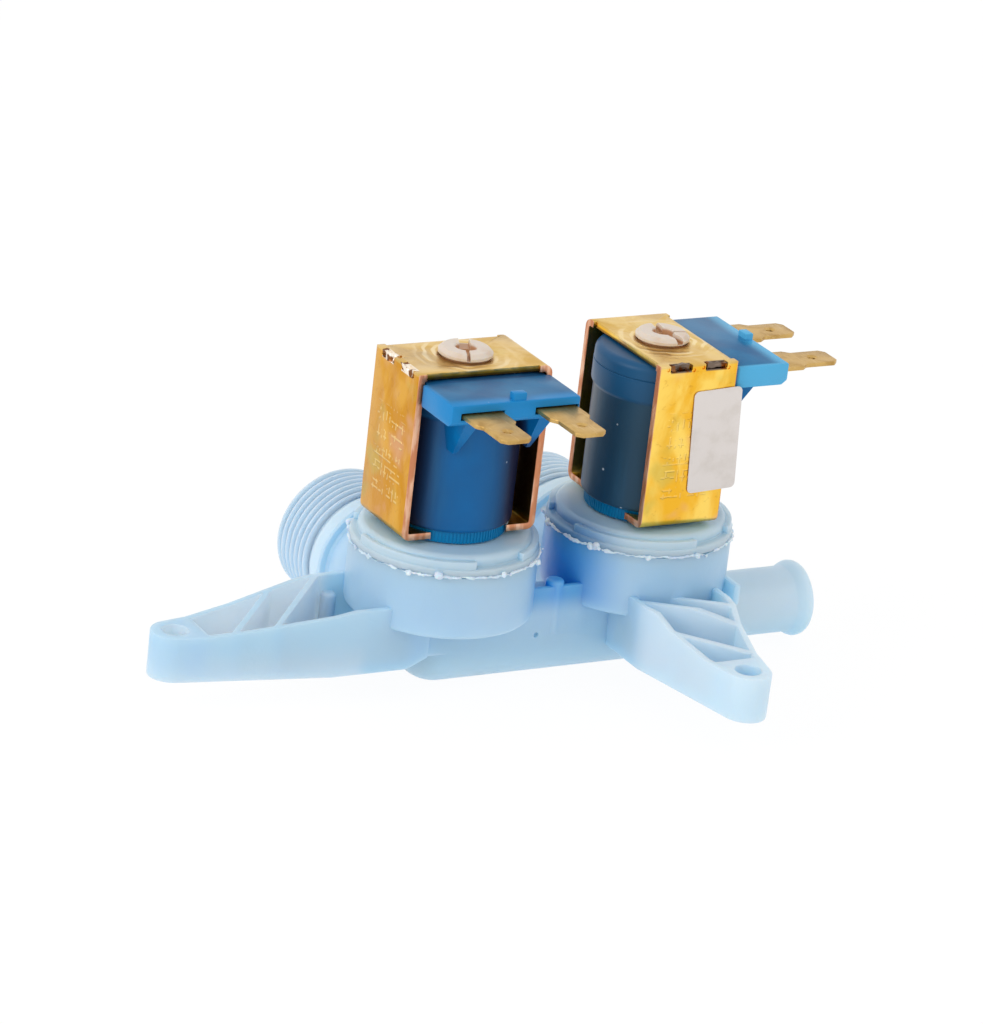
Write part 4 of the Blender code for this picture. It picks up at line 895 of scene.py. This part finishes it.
def cap(letter, x, turn, plastic):
    """Welded cap with a stepped rim, a hub and three drive lugs."""
    clear = INNER_RADIUS - GAP
    profile = [(CHAMBER_RADIUS, WELD_HEIGHT), (CHAMBER_RADIUS, CAP_RIM - 0.0005),
               *arc((CHAMBER_RADIUS - 0.0005, CAP_RIM - 0.0005), 0.0005, 20, 90, 3),
               (STEP_RADIUS + 0.0002, CAP_RIM + 0.0001), (STEP_RADIUS, CAP_RIM + 0.0003),
               *arc((STEP_RADIUS - 0.0012, CAP_TOP - 0.0012), 0.0012, 5, 90, 6),
               (HUB_RADIUS, CAP_TOP), (HUB_RADIUS, HUB_TOP - 0.0003), (HUB_RADIUS - 0.0003, HUB_TOP),
               (BORE_RADIUS, HUB_TOP), (BORE_RADIUS, FLANGE_TOP + GAP), (FLANGE_RADIUS + GAP, FLANGE_TOP + GAP),
               (FLANGE_RADIUS + GAP, CAP_UNDERSIDE), (clear, CAP_UNDERSIDE), (clear, WELD_HEIGHT)]
    made = turned(profile)
    outer = CHAMBER_RADIUS - 0.0003
    for index in range(3):
        start = turn + 120 * index - LUG_ARC
        ring = arc((0, 0), outer, start, start + LUG_ARC, 40)
        ring += arc((0, 0), outer - LUG_WIDTH, start + LUG_ARC, start, 40)
        join(made, soften(prism(ring, WELD_HEIGHT + 0.0005, LUG_TOP), 0.0002))
    made.data.transform(stand(x))
    return finish(made, f"cap_{letter}", plastic, "pale_blue_plastic", f"bonnet_{letter}")


# ---------------------------------------------------------------- yokes, coils, blades and heads


def yoke(letter, x, turn, steel, sunk):
    """Strip bent into a loop; its closing end is held by two peened tabs in notches."""
    half = YOKE_LENGTH / 2

    def outline(inset, steps):
        left, right, low, high = -half + inset, half - inset, YOKE_BASE + inset, YOKE_TOP - inset
        bend = BEND - inset
        return [(left, high), *arc((left + bend, low + bend), bend, 180, 270, steps),
                *arc((right - bend, low + bend), bend, 270, 360, steps),
                *arc((right - bend, high - bend), bend, 0, 90, steps)]

    loop = prism(outline(0, 8), -YOKE_WIDTH / 2, YOKE_WIDTH / 2, UPRIGHT)
    cut(loop, prism(outline(SHEET, 5), -YOKE_WIDTH, YOKE_WIDTH, UPRIGHT))
    bend = BEND - SHEET
    low, high, above = YOKE_BASE + SHEET, YOKE_TOP - SHEET, YOKE_TOP + SHEET
    cut(loop, rod(FOOT_HOLE_RADIUS, YOKE_BASE - SHEET, low + bend))
    cut(loop, rod(BORE_RADIUS, high - SHEET, above, MEDIUM))
    for side in (-1, 1):
        edges = sorted((side * (YOKE_WIDTH / 2 - 0.0007), side * YOKE_WIDTH))
        cut(loop, block((-half + SHEET + 0.0004, edges[0], high - bend), (half - 0.0027, edges[1], above)))
    for offset in (-TAB_OFFSET, TAB_OFFSET):
        cut(loop, block((-half - 0.001, offset - NOTCH_HALF_WIDTH, high + 0.0001),
                        (-half + SHEET * 0.8, offset + NOTCH_HALF_WIDTH, YOKE_TOP + 0.001)))
    soften(loop, 0.00012)
    face, lumps, depth = (-half + 0.0005, 0.0011, 0.0005) if sunk else (-half - 0.0002, 0.0018, 0.0009)
    for offset in (-TAB_OFFSET, TAB_OFFSET):
        tab = block((face, offset - TAB_HALF_WIDTH, high + 0.0002),
                    (-half + SHEET, offset + TAB_HALF_WIDTH, YOKE_TOP - 0.0001))
        gather(loop, rough(tab, lumps, depth))
        if sunk:
            for shift, height in ((-0.0027, YOKE_TOP - 0.0011), (0.0029, YOKE_TOP - 0.0007)):
                punch = [(0, -0.0004), (0.0005, -0.0004), (0.0003, 0.0003), (0, 0.0004)]
                cut(loop, turned(punch, COARSE, along_x(-half, offset + shift, height)))
    loop.data.transform(stand(x, turn))
    return finish(loop, f"steel_yoke_{letter}", steel, "zinc_steel", f"yoke_{letter}")


def coil(letter, x, turn, plastic, flutes):
    """Moulded coil with collar, fluted foot, terminal block, gussets and an upright key."""
    core = FOOT_RADIUS - 0.0004
    collar = COIL_TOP - COLLAR_HEIGHT
    groove = COIL_TOP - 0.003
    cover = turned([
        (0, COIL_BASE), (core, COIL_BASE), (core, COIL_SHOULDER), (COIL_RADIUS - 0.0008, COIL_SHOULDER),
        *arc((COIL_RADIUS - 0.0009, COIL_SHOULDER + 0.0009), 0.0009, -70, 0, 4),
        (COIL_RADIUS, collar - 0.0002), (COIL_RADIUS + 0.0001, collar),
        (COLLAR_RADIUS - 0.0001, collar + 0.0005), (COLLAR_RADIUS, collar + 0.0008), (COLLAR_RADIUS, groove - 0.00015),
        (COLLAR_RADIUS - 0.0002, groove), (COLLAR_RADIUS - 0.00005, groove + 0.00015),
        *arc((COLLAR_RADIUS - 0.0016, COIL_TOP - 0.0015), 0.0015, 0, 90, 6), (0, COIL_TOP)])
    low = COIL_TOP - BLOCK_THICKNESS
    out = YOKE_WIDTH / 2 + GAP
    root = [(-COLLAR_RADIUS, -COLLAR_RADIUS / 3), (-COLLAR_RADIUS, -out - 0.0005), (COLLAR_RADIUS, -out - 0.0005),
            (COLLAR_RADIUS, -COLLAR_RADIUS / 3)]
    join(cover, prism(root, low, COIL_TOP - 0.0001))
    side = [(-out, COIL_TOP), (-BLOCK_FRONT, COIL_TOP), (-BLOCK_FRONT, low + 0.0009), (-BLOCK_FRONT + 0.0012, low),
            (-out, low)]
    join(cover, soften(prism(side, -BLOCK_HALF_WIDTH, BLOCK_HALF_WIDTH, LENGTHWAYS), 0.00035))
    reach = COIL_RADIUS + 0.0058
    web = [(-COIL_RADIUS / 2, low + 0.0005), (-reach, low + 0.0005), (-reach, low), (-COIL_RADIUS, low - 0.0085),
           (-COIL_RADIUS / 2, low - 0.0085)]
    for centre in BLADE_CENTRES:
        gusset = prism(web, -0.0017, 0.0017, LENGTHWAYS)
        for vertex in gusset.data.vertices:
            narrow = (low + 0.0005 - vertex.co.z) / 0.009
            vertex.co.x = vertex.co.x * (1 - 0.75 * narrow) + centre
        join(cover, gusset)
    key_low = (BLADE_SHIFT - 0.0014, -BLOCK_FRONT + 0.0004, COIL_TOP - 0.0005)
    join(cover, soften(block(key_low, (BLADE_SHIFT + 0.0014, -BLOCK_FRONT + 0.0022, COIL_TOP + 0.0014)), 0.0003))
    cut(cover, turned([(0, COIL_BASE - GAP), (HUB_RADIUS + GAP, COIL_BASE - GAP), (HUB_RADIUS + GAP, HUB_TOP + GAP),
                       (BORE_RADIUS, HUB_TOP + GAP), (BORE_RADIUS, COIL_TOP + GAP), (0, COIL_TOP + GAP)], MEDIUM))
    for centre in BLADE_CENTRES:
        cut(cover, block((centre - 0.0045, -BLOCK_FRONT - 0.0003, BLADE_HEIGHT - 0.0007),
                         (centre + 0.0045, -BLOCK_FRONT + 0.0053, BLADE_HEIGHT + 0.0007)))
    teeth = flutes.grow(Radius=core, Count=104.0, Width=0.00036, Depth=0.00022, Height=COIL_SHOULDER - COIL_BASE,
                        Finish=plastic.material)
    teeth.data.transform(stand(0, up=(COIL_SHOULDER + COIL_BASE) / 2))
    gather(cover, teeth)
    cover.data.transform(stand(x, turn))
    return finish(cover, f"coil_cover_{letter}", plastic, "blue_cover", f"coil_{letter}")


def blade(letter, number, x, turn, centre, brass):
    """Quarter inch blade with wide root, step, locating dimple hole and chamfered tip."""
    shoulder = -BLOCK_FRONT - 0.0056
    tip = shoulder - BLADE_LENGTH
    right = [(BLADE_HALF_WIDTH - BLADE_CORNER, tip), (BLADE_HALF_WIDTH, tip + BLADE_CORNER),
             (BLADE_HALF_WIDTH, shoulder - 0.0006), (BLADE_HALF_WIDTH + 0.0003, shoulder - 0.0001),
             (BLADE_ROOT - 0.0006, shoulder), (BLADE_ROOT, shoulder + 0.0008), (BLADE_ROOT, -BLOCK_FRONT + 0.005)]
    outline = [(-across, along) for across, along in reversed(right)] + right
    made = soften(prism(outline, BLADE_HEIGHT - BLADE_HALF_SHEET, BLADE_HEIGHT + BLADE_HALF_SHEET), 0.00016)
    hole = [(0, -0.001), (0.0007, -0.001), (0.0007, 0.0001), (0.00115, 0.0004), (0.00125, 0.001), (0, 0.001)]
    hole = [(radius, BLADE_HEIGHT + height) for radius, height in hole]
    cut(made, turned(hole, COARSE, Matrix.Translation((0, shoulder - 0.45 * BLADE_LENGTH, 0))))
    made.data.transform(stand(x, turn) @ stand(centre))
    return finish(made, f"blade_{letter}{number}", brass, "brass", f"terminal_{letter}{number}")


def guide(letter, x, slots, nylon):
    """Guide tube with a split snap head over the yoke."""
    flange = FLANGE_TOP - 0.0012
    made = turned([
        (TUBE_BORE, flange), (FLANGE_RADIUS, flange), (FLANGE_RADIUS, FLANGE_TOP), (TUBE_RADIUS, FLANGE_TOP),
        (TUBE_RADIUS, HEAD_BASE), (HEAD_RADIUS - 0.0001, HEAD_BASE), (HEAD_RADIUS, HEAD_BASE + 0.0001),
        (HEAD_RADIUS, HEAD_TOP - 0.0007), (HEAD_RADIUS - 0.0005, HEAD_TOP - 0.0002), (HEAD_RADIUS - 0.0008, HEAD_TOP),
        (0.0022, HEAD_TOP), (0.002, HEAD_TOP - 0.0002), (0.0018, HEAD_TOP - 0.0016), (0, HEAD_TOP - 0.0017),
        (0, TUBE_CEILING), (TUBE_BORE, TUBE_CEILING)])
    for heading, width in slots:
        slot = block((0.001, -width / 2, HEAD_TOP - 0.0012), (0.006, width / 2, HEAD_TOP + 0.001))
        slot.data.transform(stand(0, heading))
        cut(made, slot)
    made.data.transform(stand(x))
    return finish(made, f"guide_{letter}", nylon, "nylon", f"guide_tube_{letter}")


def return_spring(letter, x, coiled, wire):
    """Spring over the plunger, in a mesh of its own; the plunger shortens it as it rises, which nothing here shows."""
    low, high = (corner[2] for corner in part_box(f"plunger_spring_{letter}"))
    made = coiled.grow(Radius=SPRING_RADIUS - SPRING_WIRE, Height=high - low - 2 * SPRING_WIRE, Turns=SPRING_TURNS,
                       Wire=SPRING_WIRE, Finish=wire.material)
    made.data.transform(stand(x, up=low + SPRING_WIRE))
    finish(made, f"return_spring_{letter}", wire, "armature_steel", f"plunger_spring_{letter}")
    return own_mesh(made, f"plunger_{letter}_slide", axis=(0, 0, 1), anchor=(x - MIDDLE_X, -MIDDLE_Y, high),
                     keep=1 - PLUNGER_STROKE / (high - low))


def sticker(paper):
    """Blank sticker with round corners that lifts a little where it overhangs the yoke."""
    width, height, corner, drop, overhang = 0.0103, 0.0204, 0.001, 0.0052, 0.002
    shape = bmesh.new()
    points = []
    for index, (sx, sy) in enumerate(((1, 1), (-1, 1), (-1, -1), (1, -1))):
        points += arc((sx * (width / 2 - corner), sy * (height / 2 - corner)), corner, 90 * index, 90 * index + 90, 6)
    shape.faces.new([shape.verts.new((px, py, 0)) for px, py in points])
    for step in range(1, 12):
        split = -width / 2 + width * step / 12
        geometry = shape.verts[:] + shape.edges[:] + shape.faces[:]
        bmesh.ops.bisect_plane(shape, geom=geometry, plane_co=(split, 0, 0), plane_no=(1, 0, 0))
    for vertex in shape.verts:
        free = max(0.0, vertex.co.x - (width / 2 - overhang))
        vertex.co.z += 22 * free * free
    made = new_object("sticker", shape)
    thick = made.modifiers.new("paper", "SOLIDIFY")
    thick.thickness = 0.00012
    thick.offset = 0
    settle(made)
    right = SPACING + YOKE_WIDTH / 2 + overhang
    middle = (right - width / 2, -YOKE_LENGTH / 2 - 0.00018, YOKE_TOP - drop - height / 2)
    made.data.transform(Matrix.Translation(middle) @ UPRIGHT @ Matrix.Rotation(math.radians(3), 4, "Z"))
    return finish(made, "blank_sticker", paper, "sticker", "label")


# ---------------------------------------------------------------- the valve

# Each moulding's second colour is painted light on its ends and bottom; its third is a deep blue painted shade between
# the chambers.
BLUE = moulding_finish("pale_blue_plastic", paint(167, 201, 230), paint(202, 227, 250), paint(0, 146, 226))
MILKY = moulding_finish("milky_blue_plastic", paint(182, 207, 227), paint(202, 224, 240), paint(40, 120, 184), 0.2)
FLASH = plain_finish("weld_flash", paint(226, 236, 244), paint(200, 220, 238), 0.5, 0.0008, 0.00004,
                     Subsurface_Weight=0.2, Subsurface_Scale=0.002)
BRASS = brass_finish()
NYLON = plain_finish("natural_nylon", paint(212, 196, 176), paint(196, 164, 130), 0.42, 0.0008, 0.00003,
                     Subsurface_Weight=0.3, Subsurface_Scale=0.002, Subsurface_Radius=(1.0, 0.7, 0.4))
RUBBER = plain_finish("black_rubber", paint(34, 34, 34), paint(52, 51, 50), 0.7, 0.0005, 0.00003)
ARMATURE = plain_finish("armature_steel", paint(176, 178, 182), paint(150, 152, 156), 0.3, 0.0004, 0.00001,
                        Metallic=1.0)
STRAINER = plain_finish("strainer_plastic", paint(226, 226, 220), paint(208, 208, 202), 0.5, 0.0005, 0.00002)

THREAD = winding()
FLUTES = ring_of()
RAGGED = flash()
WOUND = helix()


def side(letter, x, turn, weld_turn, seed, steel, cover, slots):
    """All that belongs to one chamber; steel and cover are what sets its yoke and coil apart."""
    cap(letter, x, weld_turn, MILKY)
    yoke(letter, x, turn, steel_finish(f"zinc_steel_{letter}", x, turn, *steel), letter == "b")
    coil(letter, x, turn, cover_finish(f"blue_cover_{letter}", x, turn, *cover), FLUTES)
    for number, centre in enumerate(BLADE_CENTRES, 1):
        blade(letter, number, x, turn, centre, BRASS)
    guide(letter, x, slots, nylon_finish(f"natural_nylon_{letter}", x))
    lip = RAGGED.grow(Radius=CHAMBER_RADIUS, Thickness=0.00034, Wave=0.0009, Crumbs=90.0, Crumb=0.0009,
                      Chunk=math.radians(-43), Seed=seed, Finish=FLASH.material)
    lip.data.transform(stand(x, up=WELD_HEIGHT - 0.0001))
    finish(lip, f"weld_flash_{letter}", FLASH, "pale_blue_plastic")
    return_spring(letter, x, WOUND, ARMATURE)
    for node, look in (("plunger", ARMATURE), ("plunger_tip", RUBBER), ("diaphragm", RUBBER),
                       ("diaphragm_insert", NYLON), ("flow_washer", RUBBER), ("inlet_screen", STRAINER)):
        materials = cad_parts[f"{node}_{letter}"].data.materials
        materials.clear()
        materials.append(look.material)


valve_body(BLUE, THREAD)
# Yoke b's gold is painted lighter than yoke a's, as painted light on the face turned to the lamps; the third steel
# colour is painted on the stakes. The cover colours are the direction and colour of a painted lit band, the painted
# shade at its sides and the painted light on the block's faces.
side("a", 0, 0, weld_turn=261.5, seed=3.0, slots=((68, 0.0021), (-112, 0.0007)),
     steel=(paint(212, 148, 40), paint(228, 172, 72), paint(252, 240, 222), 0.55),
     cover=((-0.22, -0.86), paint(0, 102, 166), paint(26, 34, 62), paint(26, 132, 196)))
side("b", SPACING, 90, weld_turn=278, seed=11.0, slots=((82, 0.0014), (-78, 0.0016), (-20, 0.0007)),
     steel=(paint(244, 184, 50), paint(255, 216, 104), paint(120, 104, 92), 0.25),
     cover=((-0.95, 0.3), paint(44, 80, 104), paint(26, 62, 90), paint(84, 176, 222)))
sticker(sticker_finish())


# ---------------------------------------------------------------- floor, light and camera


def seen(tree):
    """1 on the rays that show a surface, 0 on those that only carry light."""
    outputs = tree.node("ShaderNodeLightPath").plug.node.outputs
    straight, glossy, through = (Socket(tree, outputs[f"Is {kind} Ray"])
                                 for kind in ("Camera", "Glossy", "Transmission"))
    return straight | glossy | through


def floor_and_world():
    """A pale floor that keeps the shadow, and a white room that lights evenly."""
    shape = bmesh.new()
    bmesh.ops.create_grid(shape, x_segments=1, y_segments=1, size=6.0)
    floor = new_object("floor", shape)
    floor.location.z = -0.00002
    cover = bpy.data.materials.new("pale_floor")
    cover.use_nodes = True
    pale = Tree(cover.node_tree)
    pale.tree.nodes.clear()
    plain = pale.node("ShaderNodeBsdfDiffuse", sockets={"Color": (0.93, 0.93, 0.93, 1)})
    glow = pale.node("ShaderNodeEmission", sockets={"Color": (1, 1, 1, 1), "Strength": 1.02})
    mixed = pale.node("ShaderNodeMixShader", sockets={0: 0.45 + seen(pale) * 0.47, 1: plain, 2: glow})
    pale.tree.links.new(mixed.plug, pale.tree.nodes.new("ShaderNodeOutputMaterial").inputs["Surface"])
    floor.data.materials.append(cover)
    world = bpy.data.worlds.new("white_room")
    bpy.context.scene.world = world
    world.use_nodes = True
    room = Tree(world.node_tree)
    room.tree.nodes.clear()
    lit = room.node("ShaderNodeBackground", sockets={"Color": (1, 1, 1, 1), "Strength": 0.82})
    white = room.node("ShaderNodeBackground", sockets={"Color": (1, 1, 1, 1), "Strength": 1.0})
    mixed = room.node("ShaderNodeMixShader", sockets={0: seen(room), 1: lit, 2: white})
    room.tree.links.new(mixed.plug, room.tree.nodes.new("ShaderNodeOutputWorld").inputs["Surface"])


def lamp(name, place, target, size, power):
    """A soft square lamp that faces a point."""
    light = bpy.data.lights.new(name, "AREA")
    light.energy = power
    light.size = size
    made = bpy.data.objects.new(name, light)
    made.location = place
    made.rotation_euler = (Vector(target) - Vector(place)).to_track_quat("-Z", "Y").to_euler()
    bpy.context.scene.collection.objects.link(made)


def camera():
    """The photograph's view: from the left and above, a long lens, rolled a little."""
    data = bpy.data.cameras.new("camera")
    data.lens = 184.4
    data.sensor_width = 36.0
    data.clip_start = 0.05
    made = bpy.data.objects.new("camera", data)
    azimuth, elevation, roll = math.radians(-31.07), math.radians(21.10), math.radians(6.68)
    turn = Matrix.Rotation(azimuth, 4, "Z") @ Matrix.Rotation(math.pi / 2 - elevation, 4, "X")
    place = Matrix.Translation((-0.4622 - MIDDLE_X, -0.7829 - MIDDLE_Y, 0.3852))
    made.matrix_world = place @ turn @ Matrix.Rotation(roll, 4, "Z")
    bpy.context.scene.collection.objects.link(made)
    bpy.context.scene.camera = made


floor_and_world()
lamp("key", (-0.85, -0.1, 0.5), (0, 0, 0.02), 0.5, 2.6)
lamp("fill", (0.35, -0.8, 0.7), (0, 0, 0.02), 0.7, 0.9)
camera()
bpy.context.scene.view_settings.view_transform = "Standard"
